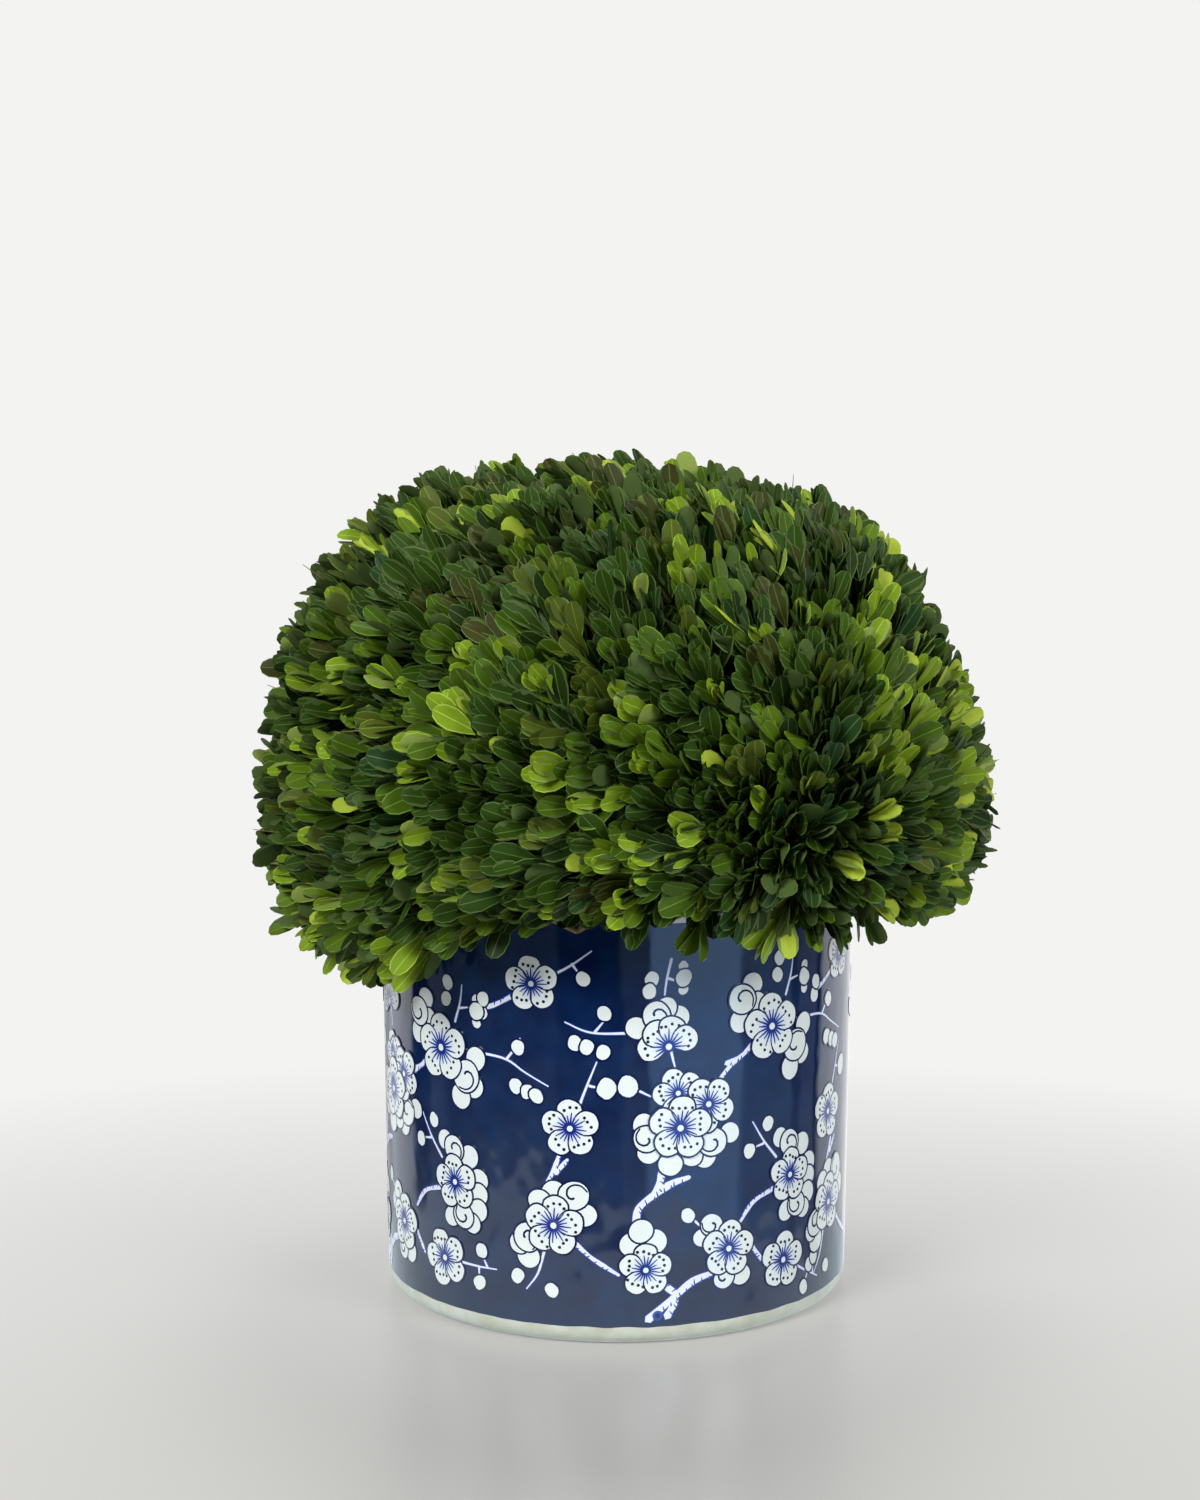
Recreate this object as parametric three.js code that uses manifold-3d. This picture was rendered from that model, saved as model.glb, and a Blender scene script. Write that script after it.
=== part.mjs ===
// A clipped boxwood in a cylindrical porcelain pot. The unit is the millimetre, Z is up, and the origin
// is the middle of the pot's flat underside. The front is towards -Y.
//
// A short stem stands on the foam plug that fills the pot. Eight boughs leave it sideways and one carries
// on upwards, and each meets the stem of one mass of foliage. A mass is a piece of the clipped dome: a
// solid heart, twigs that stand out of it, and leaves on the twigs. No twig or leaf leaves its own mass.

import * as THREE from 'three';
import { mergeVertices } from 'three/addons/utils/BufferGeometryUtils.js';
import Module from 'manifold-3d';

const wasm = await Module();
wasm.setup();

// Driving sizes
const GAP = 0.3; // between solids that touch on the real plant
const POT = { height: 180, rimRadius: 102.5, footRadius: 100.5, wall: 7, floor: 8, edge: 1.4, footRound: 6 };
const FILL_TOP = 166;
const STEM = { radius: 8, flare: 2, tip: 212, tipRadius: 6.5, lean: 3, sides: 14 };
const BOUGH = { lowest: 188, step: 15, startRadius: 4.4, tipRadius: 3, reach: 36, rise: 13 };
const TOP_BOUGH = { radius: 5.5, tipRadius: 3.8, length: 24 };
const CROWN = {
  radius: 159,
  middle: 225,
  above: 134,
  below: 120,
  squareness: 2.3,
  skirt: 146,
  rows: 8,
  firstRow: 0.03,
  lastRow: 0.93,
};
const SKIRT_LIFT = { right: 9, front: 6, alongOutline: 1.6 }; // the skirt hangs highest at the front right
const HEART = { scale: 0.84, floor: POT.height + 2 * GAP, hollowRadius: 45, hollowHeight: 200, stemLength: 22 };
const SIDE_MASSES = 8;
const TOP_SPACE = { apex: 185, halfAngle: 29, sectors: 4 }; // the cone that the top mass keeps to
const SEED = 11;
const TWIG = { radius: 2.4, forkRadius: 2 };
const FORK = { scale: 0.55, height: 195, lowest: 190, skirtRadius: 110 };
const SHOOT = {
  radius: 1.8,
  ringStep: 38,
  stray: 0.16,
  roll: 50,
  shortest: 0.965,
  pairBelow: 5,
  leastSpread: 50,
  mostSpread: 70,
};
const LEAF = { length: 29, width: 17.5, cup: 1.6, sunk: 1.4, smallest: 0.86 };

const ROUND_SIDES = 56;
const HEART_SIDES = 40;
const SMALL_SIDES = 8;
const UP = new THREE.Vector3(0, 0, 1);
const FRONT_TO_BACK = new THREE.Vector3(0, 1, 0);
const radians = THREE.MathUtils.degToRad;
const lerp = THREE.MathUtils.lerp;

// Finishes
const finish = (color, roughness) => new THREE.MeshStandardMaterial({ color, roughness, metalness: 0 });
const porcelain = finish('#182c57', 0.12);
const dryFoam = finish('#6d5c45', 0.95);
const bark = finish('#7a6448', 0.85);
const greens = ['#3f5c14', '#4a6a18', '#55771c'].map((color) => finish(color, 0.45));

// Solids from points and faces
function solidFrom(points, faces) {
  const vertProperties = new Float32Array(points.flatMap((point) => point.toArray()));
  const triVerts = new Uint32Array(faces.flat());
  return new wasm.Manifold(new wasm.Mesh({ numProp: 3, vertProperties, triVerts }));
}

function solidOf(geometry) {
  geometry.deleteAttribute('normal');
  geometry.deleteAttribute('uv');
  const { index, attributes } = mergeVertices(geometry, 1e-3);
  const triVerts = new Uint32Array(index.array);
  return new wasm.Manifold(new wasm.Mesh({ numProp: 3, vertProperties: attributes.position.array, triVerts }));
}

function meshOf(name, solid, material) {
  const { vertProperties, triVerts } = solid.getMesh();
  const geometry = new THREE.BufferGeometry();
  geometry.setAttribute('position', new THREE.BufferAttribute(vertProperties, 3));
  geometry.setIndex(new THREE.BufferAttribute(triVerts, 1));
  const mesh = new THREE.Mesh(geometry, material);
  mesh.name = name;
  return mesh;
}

// A profile of [radius, height] turned about Z
function turned(profile, sides) {
  const points = profile.map(([radius, height]) => new THREE.Vector2(radius, height));
  return solidOf(new THREE.LatheGeometry(points, sides).rotateX(Math.PI / 2));
}

// A tapering limb through a row of points, with one radius at each
function limb(points, radii, sides, towards) {
  const rings = points.map((point, i) => {
    const before = points[Math.max(i - 1, 0)];
    const after = points[Math.min(i + 1, points.length - 1)];
    const along = new THREE.Vector3().subVectors(after, before).normalize();
    const across = new THREE.Vector3().crossVectors(towards, along).normalize();
    const third = new THREE.Vector3().crossVectors(along, across);
    return Array.from({ length: sides }, (_, k) => {
      const turn = (2 * Math.PI * k) / sides;
      return point
        .clone()
        .addScaledVector(across, radii[i] * Math.cos(turn))
        .addScaledVector(third, radii[i] * Math.sin(turn));
    });
  });
  const faces = [];
  for (let k = 0; k < sides; k += 1) {
    const next = (k + 1) % sides;
    for (let ring = 0; ring < points.length - 1; ring += 1) {
      const low = ring * sides;
      const high = low + sides;
      faces.push([low + k, low + next, high + next], [low + k, high + next, high + k]);
    }
    const last = (points.length - 1) * sides;
    if (k > 0 && next > 0) faces.push([0, next, k], [last, last + k, last + next]);
  }
  return { points: rings.flat(), faces };
}

// The pot, with its foot rounded underneath and its rim softened, and the foam that fills it
function makePot() {
  const { height, rimRadius, footRadius, wall, floor, edge, footRound } = POT;
  const inside = (z) => lerp(footRadius, rimRadius, z / height) - wall;
  const pot = turned(
    [
      [0, 0],
      [footRadius - footRound, 0],
      [footRadius - 0.3 * footRound, 0.3 * footRound],
      [footRadius, footRound],
      [rimRadius, height - edge],
      [rimRadius - edge, height],
      [rimRadius - wall + edge, height],
      [rimRadius - wall, height - edge],
      [inside(floor), floor],
      [0, floor],
    ],
    ROUND_SIDES,
  );
  const bottom = floor + GAP;
  const fill = turned(
    [
      [0, bottom],
      [inside(bottom) - GAP, bottom],
      [inside(FILL_TOP) - GAP, FILL_TOP],
      [0, FILL_TOP],
    ],
    ROUND_SIDES,
  );
  return [meshOf('pot', pot, porcelain), meshOf('foam_plug', fill, dryFoam)];
}

// The stem's middle line and radius at a height: it leans a little, tapers, and flares at its cut foot
const STEM_FOOT = FILL_TOP + GAP;

function stemMiddle(z) {
  const rise = (z - STEM_FOOT) / (STEM.tip - STEM_FOOT);
  return new THREE.Vector3(STEM.lean * rise * rise, 0.5 * STEM.lean * rise, z);
}

function stemRadius(z) {
  const rise = (z - STEM_FOOT) / (STEM.tip - STEM_FOOT);
  return lerp(STEM.radius, STEM.tipRadius, rise) + STEM.radius * (STEM.flare - 1) * Math.exp(-9 * rise);
}

function stemSolid(extra) {
  const heights = [0, 0.08, 0.2, 0.36, 0.65, 1].map((rise) => lerp(STEM_FOOT, STEM.tip, rise));
  const radii = heights.map((z) => stemRadius(z) + extra);
  const { points, faces } = limb(heights.map(stemMiddle), radii, STEM.sides, FRONT_TO_BACK);
  points.slice(0, STEM.sides).forEach((point) => point.setZ(STEM_FOOT));
  points.slice(-STEM.sides).forEach((point) => point.setZ(STEM.tip));
  return solidFrom(points, faces);
}

// A side bough's middle line, from the stem's middle outwards and up, and its direction at the tip
function boughLine(index) {
  const turn = ((index + 0.5) * 2 * Math.PI) / SIDE_MASSES;
  const foot = stemMiddle(BOUGH.lowest + BOUGH.step * (index % 2));
  const tip = new THREE.Vector3(Math.cos(turn), Math.sin(turn), 0).multiplyScalar(BOUGH.reach);
  const runs = [0, 0.4, 0.7, 1];
  const line = runs.map((run) => foot.clone().lerp(tip, run).setZ(foot.z + run ** 2 * BOUGH.rise));
  const radii = runs.map((run) => lerp(BOUGH.startRadius, BOUGH.tipRadius, run));
  const along = new THREE.Vector3().subVectors(line.at(-1), line.at(-2)).normalize();
  return { line, radii, along };
}

// A side bough, cut clear of the stem
function makeBough(index, stemSpace) {
  const { line, radii } = boughLine(index);
  const { points, faces } = limb(line, radii, SMALL_SIDES, UP);
  return meshOf(`bough_${index + 1}`, solidFrom(points, faces).subtract(stemSpace), bark);
}

function makeTopBough() {
  const foot = stemMiddle(STEM.tip + GAP);
  const tip = foot.clone().add(new THREE.Vector3(0, 0, TOP_BOUGH.length));
  const middle = foot.clone().lerp(tip, 0.5);
  const radii = [TOP_BOUGH.radius, lerp(TOP_BOUGH.radius, TOP_BOUGH.tipRadius, 0.5), TOP_BOUGH.tipRadius];
  const { points, faces } = limb([foot, middle, tip], radii, SMALL_SIDES, FRONT_TO_BACK);
  return { tip, mesh: meshOf('bough_top', solidFrom(points, faces), bark) };
}

// The crown's outline, from the edge of its skirt to its top, as [distance from the axis, height]
function outlineAt(angle) {
  const power = 2 / CROWN.squareness;
  const reach = Math.pow(Math.max(Math.cos(angle), 0), power);
  const rise = Math.pow(Math.abs(Math.sin(angle)), power);
  const height = angle > 0 ? CROWN.above * rise : -CROWN.below * rise;
  return new THREE.Vector2(CROWN.radius * reach, CROWN.middle + height);
}

function angleBelow(depth) {
  return -Math.asin(Math.pow(depth / CROWN.below, CROWN.squareness / 2));
}

function outlineCurve(depth, steps) {
  const from = angleBelow(depth);
  return Array.from({ length: steps + 1 }, (_, i) => outlineAt(lerp(from, Math.PI / 2, i / steps)));
}

// The dome's heart: the outline drawn in towards its middle, hollow where the boughs fork
function makeHeart() {
  const depth = (CROWN.middle - HEART.floor) / HEART.scale;
  const profile = outlineCurve(depth, 7).map(({ x, y }) => [
    x * HEART.scale,
    CROWN.middle + (y - CROWN.middle) * HEART.scale,
  ]);
  const dome = turned([[0, HEART.floor], ...profile.slice(0, -1), [0, profile.at(-1)[1]]], HEART_SIDES);
  const hollow = new THREE.SphereGeometry(HEART.hollowRadius, 24, 12).translate(0, 0, HEART.hollowHeight);
  return dome.subtract(solidOf(hollow));
}

// The space of a side mass: a wedge of the dome, drawn in by half the gap
function wedgeSpace(index) {
  const half = Math.PI / SIDE_MASSES;
  const middle = (index + 0.5) * 2 * half;
  const far = 3 * CROWN.radius;
  const shift = GAP / Math.sin(half);
  const corner = (turn, reach) => [Math.cos(middle + turn) * reach, Math.sin(middle + turn) * reach];
  const [tipX, tipY] = corner(0, shift);
  const [leftX, leftY] = corner(-half, far);
  const [rightX, rightY] = corner(half, far);
  const shape = new THREE.Shape();
  shape.moveTo(tipX, tipY);
  shape.lineTo(leftX + tipX, leftY + tipY);
  shape.lineTo(rightX + tipX, rightY + tipY);
  shape.closePath();
  return solidOf(new THREE.ExtrudeGeometry(shape, { depth: 2 * far, bevelEnabled: false }));
}

// The space of the top mass: a cone that stands on its apex, drawn in or out by a clearance
function coneSpace(clearance) {
  const height = 3 * CROWN.radius;
  const half = radians(TOP_SPACE.halfAngle);
  const cone = new THREE.ConeGeometry(height * Math.tan(half), height, ROUND_SIDES);
  const apex = TOP_SPACE.apex + clearance / Math.sin(half);
  return solidOf(cone.rotateX(-Math.PI / 2).translate(0, 0, apex + height / 2));
}

// How far a point lies inside the cone, measured square to its side
function depthInCone(point) {
  const half = radians(TOP_SPACE.halfAngle);
  const radius = Math.hypot(point.x, point.y);
  return (point.z - TOP_SPACE.apex) * Math.sin(half) - radius * Math.cos(half);
}

const LEAF_CLEARANCE = 2 * GAP;
const CONE_CLEARANCE = 4 * GAP; // more, because the cone is cut with flat sides
const RIM_CLEARANCE = 2;

function insideWedge(point, index) {
  const half = Math.PI / SIDE_MASSES;
  const turn = Math.atan2(point.y, point.x) - (index + 0.5) * 2 * half;
  const radius = Math.hypot(point.x, point.y);
  const offAxis = Math.abs(Math.atan2(Math.sin(turn), Math.cos(turn)));
  const depth = radius * Math.sin(half - Math.min(offAxis, half));
  return offAxis < half && depth > LEAF_CLEARANCE && depthInCone(point) < -CONE_CLEARANCE;
}

const insideCone = (point) => depthInCone(point) > CONE_CLEARANCE;

// Whether a point keeps clear of the pot, beside it or above it
function clearOfPot(point) {
  const radius = Math.hypot(point.x, point.y);
  return radius > POT.rimRadius + RIM_CLEARANCE || point.z > POT.height + RIM_CLEARANCE;
}

// A small solid is kept where its corners and the lines between them stay in the mass's space
function staysIn(points, inside) {
  return points.every((from) =>
    points.every((to) =>
      [0, 0.25, 0.5].every((run) => {
        const point = from.clone().lerp(to, run);
        return inside(point) && clearOfPot(point);
      }),
    ),
  );
}

// A repeatable stream of numbers from 0 to 1
function randomFrom(seed) {
  let state = seed;
  return () => {
    state = (state + 0x6d2b79f5) | 0;
    let mixed = Math.imul(state ^ (state >>> 15), 1 | state);
    mixed = (mixed + Math.imul(mixed ^ (mixed >>> 7), 61 | mixed)) ^ mixed;
    return ((mixed ^ (mixed >>> 14)) >>> 0) / 4294967296;
  };
}

// A leaf has six corners and eight faces. Its root and tip lie low and its edges are raised, so it is
// cupped towards the shoot's tip. Corner 0 is the root, 1 and 2 the left edge, 3 and 4 the right, 5 the tip.
const LEAF_FACES = [
  [3, 4, 2],
  [3, 2, 1],
  [0, 3, 1],
  [4, 5, 2],
  [0, 5, 4],
  [0, 4, 3],
  [0, 2, 5],
  [0, 1, 2],
];

function leaf(node, along, above, size) {
  const across = new THREE.Vector3().crossVectors(above, along);
  const corner = (run, out, lift) =>
    node
      .clone()
      .addScaledVector(along, run * LEAF.length * size)
      .addScaledVector(across, out * LEAF.width * size)
      .addScaledVector(above, lift * LEAF.cup);
  const points = [
    corner(0, 0, 0),
    corner(0.38, 0.46, 1),
    corner(0.76, 0.42, 1),
    corner(0.38, -0.46, 1),
    corner(0.76, -0.42, 1),
    corner(1, 0, 0.2),
  ];
  return { points, faces: LEAF_FACES };
}

// The direction that leans from one direction towards another by an angle in degrees
function leaning(from, towards, angle) {
  const side = towards.clone().addScaledVector(from, -towards.dot(from)).normalize();
  return from.clone().multiplyScalar(Math.cos(radians(angle))).addScaledVector(side, Math.sin(radians(angle)));
}

function leafOn(node, shoot, side, angle, size) {
  const along = leaning(shoot, side, angle);
  const above = shoot.clone().addScaledVector(along, -shoot.dot(along)).normalize();
  return leaf(node, along, above, size);
}

// A shoot from a fork to the outline, with a leaf at its tip and a pair below it
function shootTo(tip, fork, fan, random) {
  const along = new THREE.Vector3().subVectors(tip, fork).normalize();
  const roll = lerp(-1, 1, random()) * radians(SHOOT.roll);
  const across = fan.clone().addScaledVector(along, -fan.dot(along)).normalize().applyAxisAngle(along, roll);
  const over = new THREE.Vector3().crossVectors(along, across);
  const size = lerp(LEAF.smallest, 1, random());
  const end = tip.clone().addScaledVector(along, LEAF.sunk - LEAF.length * size);
  const insideTip = end.clone().addScaledVector(along, -LEAF.sunk);
  const pair = end.clone().addScaledVector(along, -SHOOT.pairBelow);
  const spread = () => lerp(SHOOT.leastSpread, SHOOT.mostSpread, random());
  return {
    wood: limb([fork, end], [SHOOT.radius, 0.8 * SHOOT.radius], 3, across),
    leaves: [
      leafOn(insideTip, along, across, lerp(-9, 9, random()), size),
      leafOn(pair, along, over, spread(), size),
      leafOn(pair, along, over.clone().negate(), spread(), size),
    ],
  };
}

// A place at a turn about the axis, from a point of the outline drawn in towards the crown's middle
function placeIn({ x, y }, turn, scale) {
  const place = new THREE.Vector3(Math.cos(turn), Math.sin(turn), 0).multiplyScalar(x * scale);
  return place.setZ(lerp(FORK.height, y, scale));
}

// The skirt hangs lowest at the left, so elsewhere the rows start further along the outline
function outlinePoint(share, turn) {
  const lift = Math.max(0, SKIRT_LIFT.right * (1 + Math.cos(turn)) - SKIRT_LIFT.front * Math.sin(turn));
  const start = (SKIRT_LIFT.alongOutline * lift) / OUTLINE.getLength();
  return OUTLINE.getPointAt(lerp(start, 1, share));
}

// The skirt's twigs fork over the pot's rim, and all others well inside the heart
function forkFor(point, turn) {
  const fork = placeIn(point, turn, FORK.scale);
  if (point.y > FORK.lowest) return fork;
  return new THREE.Vector3(Math.cos(turn), Math.sin(turn), 0).multiplyScalar(FORK.skirtRadius).setZ(FORK.lowest);
}

// The twigs of a mass leave the end of its stem, one to each row of each sector, and fork into shoots
function twigsFrom(stemEnd, rows, sectors, firstTurn, random) {
  const sweep = (2 * Math.PI) / sectors.of;
  const twigs = [];
  for (const share of rows) {
    for (let sector = 0; sector < sectors.count; sector += 1) {
      const from = firstTurn + sector * sweep;
      const middle = outlinePoint(share, from + sweep / 2);
      const count = Math.max(1, Math.round((middle.x * sweep) / SHOOT.ringStep));
      const fork = forkFor(middle, from + sweep / 2);
      const wood = limb([stemEnd, fork], [TWIG.radius, TWIG.forkRadius], 3, UP);
      const shoots = [];
      for (let k = 0; k < count; k += 1) {
        const turn = from + (sweep * (k + 0.5 + SHOOT.stray * (random() - 0.5))) / count;
        const tip = placeIn(outlinePoint(share, turn), turn, lerp(SHOOT.shortest, 1, random()));
        const fan = new THREE.Vector3(-Math.sin(turn), Math.cos(turn), 0);
        shoots.push(shootTo(tip, fork, fan, random));
      }
      twigs.push({ wood, shoots });
    }
  }
  return twigs;
}

// Rows of shoots at even steps along the outline, as shares of the way from the skirt to the top
const OUTLINE = new THREE.SplineCurve(outlineCurve(CROWN.middle - CROWN.skirt, 24));
const ROWS = Array.from({ length: CROWN.rows }, (_, row) =>
  lerp(CROWN.firstRow, CROWN.lastRow, row / (CROWN.rows - 1)),
);
const inTopRows = (share) => {
  const { x, y } = OUTLINE.getPointAt(share);
  return depthInCone(new THREE.Vector3(x, 0, y)) > 0;
};
const SIDE_ROWS = ROWS.filter((share) => !inTopRows(share));
const TOP_ROWS = ROWS.filter(inTopRows);

// A mass: its heart, its stem and the sprigs that fit its space, fused, without scraps or sealed hollows
function fuseMass(heart, stem, twigs, inside) {
  const fits = ({ points }) => staysIn(points, inside);
  const grown = twigs.map(({ wood }) => wood).filter(fits);
  for (const shoot of twigs.flatMap(({ shoots }) => shoots)) {
    if (fits(shoot.wood)) grown.push(shoot.wood, ...shoot.leaves.filter(fits));
  }
  const solids = grown.map(({ points, faces }) => solidFrom(points, faces));
  const bodies = wasm.Manifold.union([heart, stem, ...solids]).decompose();
  return bodies.reduce((largest, body) => (body.volume() > largest.volume() ? body : largest));
}

// A mass's stem goes on from its bough's tip, a gap away, and is sunk in the heart
function massStem(boughTip, along, radius) {
  const start = boughTip.clone().addScaledVector(along, GAP);
  const end = start.clone().addScaledVector(along, HEART.stemLength);
  const side = new THREE.Vector3(-along.y, along.x, 0.01).normalize();
  const { points, faces } = limb([start, end], [radius, 0.8 * radius], SMALL_SIDES, side);
  return { solid: solidFrom(points, faces), end };
}

function makeSideMass(index, heart) {
  const inside = (point) => insideWedge(point, index);
  const own = heart.intersect(wedgeSpace(index)).subtract(coneSpace(-GAP));
  const { line, along } = boughLine(index);
  const { solid, end } = massStem(line.at(-1), along, BOUGH.tipRadius);
  const sector = { of: SIDE_MASSES, count: 1 };
  const firstTurn = (index * 2 * Math.PI) / SIDE_MASSES;
  const twigs = twigsFrom(end, SIDE_ROWS, sector, firstTurn, randomFrom(SEED + index));
  return meshOf(`foliage_${index + 1}`, fuseMass(own, solid, twigs, inside), greens[index % 2]);
}

function makeTopMass(heart, boughTip) {
  const own = heart.intersect(coneSpace(GAP));
  const { solid, end } = massStem(boughTip, UP, TOP_BOUGH.tipRadius);
  const sectors = { of: TOP_SPACE.sectors, count: TOP_SPACE.sectors };
  const twigs = twigsFrom(end, TOP_ROWS, sectors, 0, randomFrom(SEED - 1));
  return meshOf('foliage_top', fuseMass(own, solid, twigs, insideCone), greens[2]);
}

// The assembly
const topiary = new THREE.Group();
topiary.add(...makePot(), meshOf('stem', stemSolid(0), bark));
const sides = Array.from({ length: SIDE_MASSES }, (_, index) => index);
const stemSpace = stemSolid(GAP);
topiary.add(...sides.map((index) => makeBough(index, stemSpace)));
const heart = makeHeart();
topiary.add(...sides.map((index) => makeSideMass(index, heart)));
const top = makeTopBough();
topiary.add(top.mesh, makeTopMass(heart, top.tip));

export default topiary;
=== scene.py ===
# %% [markdown]
# # A clipped boxwood dome in a blue and white pot
# The solid model gives every size and place. Here each solid gets its real surface: glazed and painted
# porcelain, rough bark, and thousands of small preserved leaves on twigs.
# All lengths in this lesson are millimetres, turned to metres when a mesh is made.

# %% Open the solid model
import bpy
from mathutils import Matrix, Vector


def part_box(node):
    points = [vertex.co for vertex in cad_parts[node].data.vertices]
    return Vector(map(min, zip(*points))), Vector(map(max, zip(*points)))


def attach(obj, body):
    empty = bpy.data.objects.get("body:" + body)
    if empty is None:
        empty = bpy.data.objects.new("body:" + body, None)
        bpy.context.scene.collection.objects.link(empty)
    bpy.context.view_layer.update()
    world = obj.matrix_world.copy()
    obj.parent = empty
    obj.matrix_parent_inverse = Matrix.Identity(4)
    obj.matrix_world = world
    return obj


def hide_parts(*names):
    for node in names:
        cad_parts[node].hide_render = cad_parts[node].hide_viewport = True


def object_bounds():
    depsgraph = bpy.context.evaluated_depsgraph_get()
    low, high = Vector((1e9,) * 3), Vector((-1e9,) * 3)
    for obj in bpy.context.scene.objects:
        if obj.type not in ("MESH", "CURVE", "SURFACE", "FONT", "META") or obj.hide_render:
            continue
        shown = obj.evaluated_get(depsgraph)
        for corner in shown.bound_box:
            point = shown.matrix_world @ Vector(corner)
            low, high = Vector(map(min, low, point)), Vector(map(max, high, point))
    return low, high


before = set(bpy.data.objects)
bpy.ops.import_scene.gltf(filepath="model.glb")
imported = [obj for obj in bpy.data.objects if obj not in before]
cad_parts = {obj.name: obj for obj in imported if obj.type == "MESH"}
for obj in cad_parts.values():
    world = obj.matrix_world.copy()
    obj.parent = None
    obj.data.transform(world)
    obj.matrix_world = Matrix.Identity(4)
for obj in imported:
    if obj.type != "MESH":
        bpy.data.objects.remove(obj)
solid_box = [list(corner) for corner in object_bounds()]

import itertools
import math
import random
from bisect import bisect_left
from collections import defaultdict

import bpy
from mathutils import Matrix, Vector, noise

MM = 0.001
print("solids:", len(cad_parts), "box:", solid_box)

# %% [markdown]
# ## Helpers
# Colours are written as they look on a screen, and Blender mixes light in linear values, so one function
# turns them. Every finish starts from the Principled shader. The other functions add nodes of one kind.


# %% Helpers for colours, finishes and nodes
SHADER = "Principled BSDF"


def linear(colour):
    values = [int(colour[i : i + 2], 16) / 255 for i in (1, 3, 5)]
    return [v / 12.92 if v < 0.04045 else ((v + 0.055) / 1.055) ** 2.4 for v in values] + [1.0]


def add_node(tree, kind, sockets=None, **settings):
    """Adds a node. sockets maps an input to its value, or to the output that feeds it."""
    node = tree.nodes.new(kind)
    for name, value in settings.items():
        setattr(node, name, value)
    for name, value in (sockets or {}).items():
        if isinstance(value, bpy.types.NodeSocket):
            tree.links.new(value, node.inputs[name])
        else:
            node.inputs[name].default_value = value
    return node


def output_of(tree, kind, sockets=None, output=0, **settings):
    """Adds a node and returns one of its outputs."""
    return add_node(tree, kind, sockets, **settings).outputs[output]


def math_of(tree, operation, *values):
    return output_of(tree, "ShaderNodeMath", dict(enumerate(values)), operation=operation)


def map_range(tree, value, *limits):
    """Takes a value from one range to another, or to 0 to 1 where only one range is given."""
    return output_of(tree, "ShaderNodeMapRange", dict(enumerate((value, *limits))))


def ramp_of(tree, factor, stops):
    """The outputs of a colour ramp with (place, linear colour) stops."""
    ramp = add_node(tree, "ShaderNodeValToRGB", {"Fac": factor})
    points = ramp.color_ramp.elements
    while len(points) < len(stops):
        points.new(0.5)
    for point, (place, colour) in zip(points, stops):
        point.position = place
        point.color = colour
    return ramp.outputs


def make_finish(name, colour, roughness, **values):
    material = bpy.data.materials.new(name)
    material.use_nodes = True
    inputs = material.node_tree.nodes[SHADER].inputs
    inputs["Base Color"].default_value = linear(colour)
    inputs["Roughness"].default_value = roughness
    for socket, value in values.items():
        inputs[socket.replace("_", " ")].default_value = value
    return material


def object_noise(material, feature, detail=3.0, stretch=(1, 1, 1)):
    """Noise whose features measure so many millimetres on the piece."""
    tree = material.node_tree
    place = output_of(tree, "ShaderNodeTexCoord", output="Object")
    scaled = output_of(tree, "ShaderNodeMapping", {"Vector": place, "Scale": stretch})
    sockets = {"Vector": scaled, "Scale": 1 / (feature * MM), "Detail": detail}
    return output_of(tree, "ShaderNodeTexNoise", sockets)


def add_bump(material, height, depth):
    """Bump from a height output; depth is its full height in millimetres."""
    tree = material.node_tree
    bump = output_of(tree, "ShaderNodeBump", {"Height": height, "Distance": depth * MM, "Strength": 1.0})
    tree.links.new(bump, tree.nodes[SHADER].inputs["Normal"])


def mix_colours(material, factor, stops):
    """Feeds the base colour from a ramp of (place, colour) stops."""
    tree = material.node_tree
    colours = ramp_of(tree, factor, [(place, linear(colour)) for place, colour in stops])
    tree.links.new(colours["Color"], tree.nodes[SHADER].inputs["Base Color"])


def grained(name, colour, roughness, feature, stops, depth, detail, stretch=(1, 1, 1)):
    """A finish whose grain sets its colours, from a ramp of stops, and its bump of the depth given."""
    material = make_finish(name, colour, roughness)
    grain = object_noise(material, feature, detail, stretch)
    mix_colours(material, grain, stops)
    add_bump(material, grain, depth)
    return material


print("linear mid grey:", round(linear("#808080")[0], 3))


# %% Helpers for meshes
SHARP_ANGLE = 50


def make_mesh(name, vertices, faces, finishes, finish_of_face=None, sharp=None):
    mesh = bpy.data.meshes.new(name)
    mesh.from_pydata([Vector(v) * MM for v in vertices], [], faces, shade_flat=False)
    for material in finishes:
        mesh.materials.append(material)
    if finish_of_face:
        mesh.polygons.foreach_set("material_index", finish_of_face)
    if sharp:
        mesh.set_sharp_from_angle(angle=math.radians(sharp))
    mesh.update()
    return mesh


def store_values(mesh, name, kind, values, domain="POINT"):
    """Stores a value or a vector on each point or face."""
    field = "vector" if kind == "FLOAT_VECTOR" else "value"
    mesh.attributes.new(name, kind, domain).data.foreach_set(field, values)


def make_piece(name, mesh):
    piece = bpy.data.objects.new(name, mesh)
    bpy.context.scene.collection.objects.link(piece)
    return piece


def belongs(piece, slot, *nodes):
    """The piece rides on the one body and stands for the solids named. Its slot is not used."""
    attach(piece, "root")
    if nodes:
        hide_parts(*nodes)
    print(piece.name, len(piece.data.polygons), "faces")


def clamp(value):
    return min(max(value, 0), 1)


def mix(a, b, share):
    return a + (b - a) * share


def angles_round(count):
    return [2 * math.pi * k / count for k in range(count)]


def facing(angle):
    return Vector((math.cos(angle), math.sin(angle)))


def round_at(turn, radius, height):
    return Vector((radius * math.cos(turn), radius * math.sin(turn), height))


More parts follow.
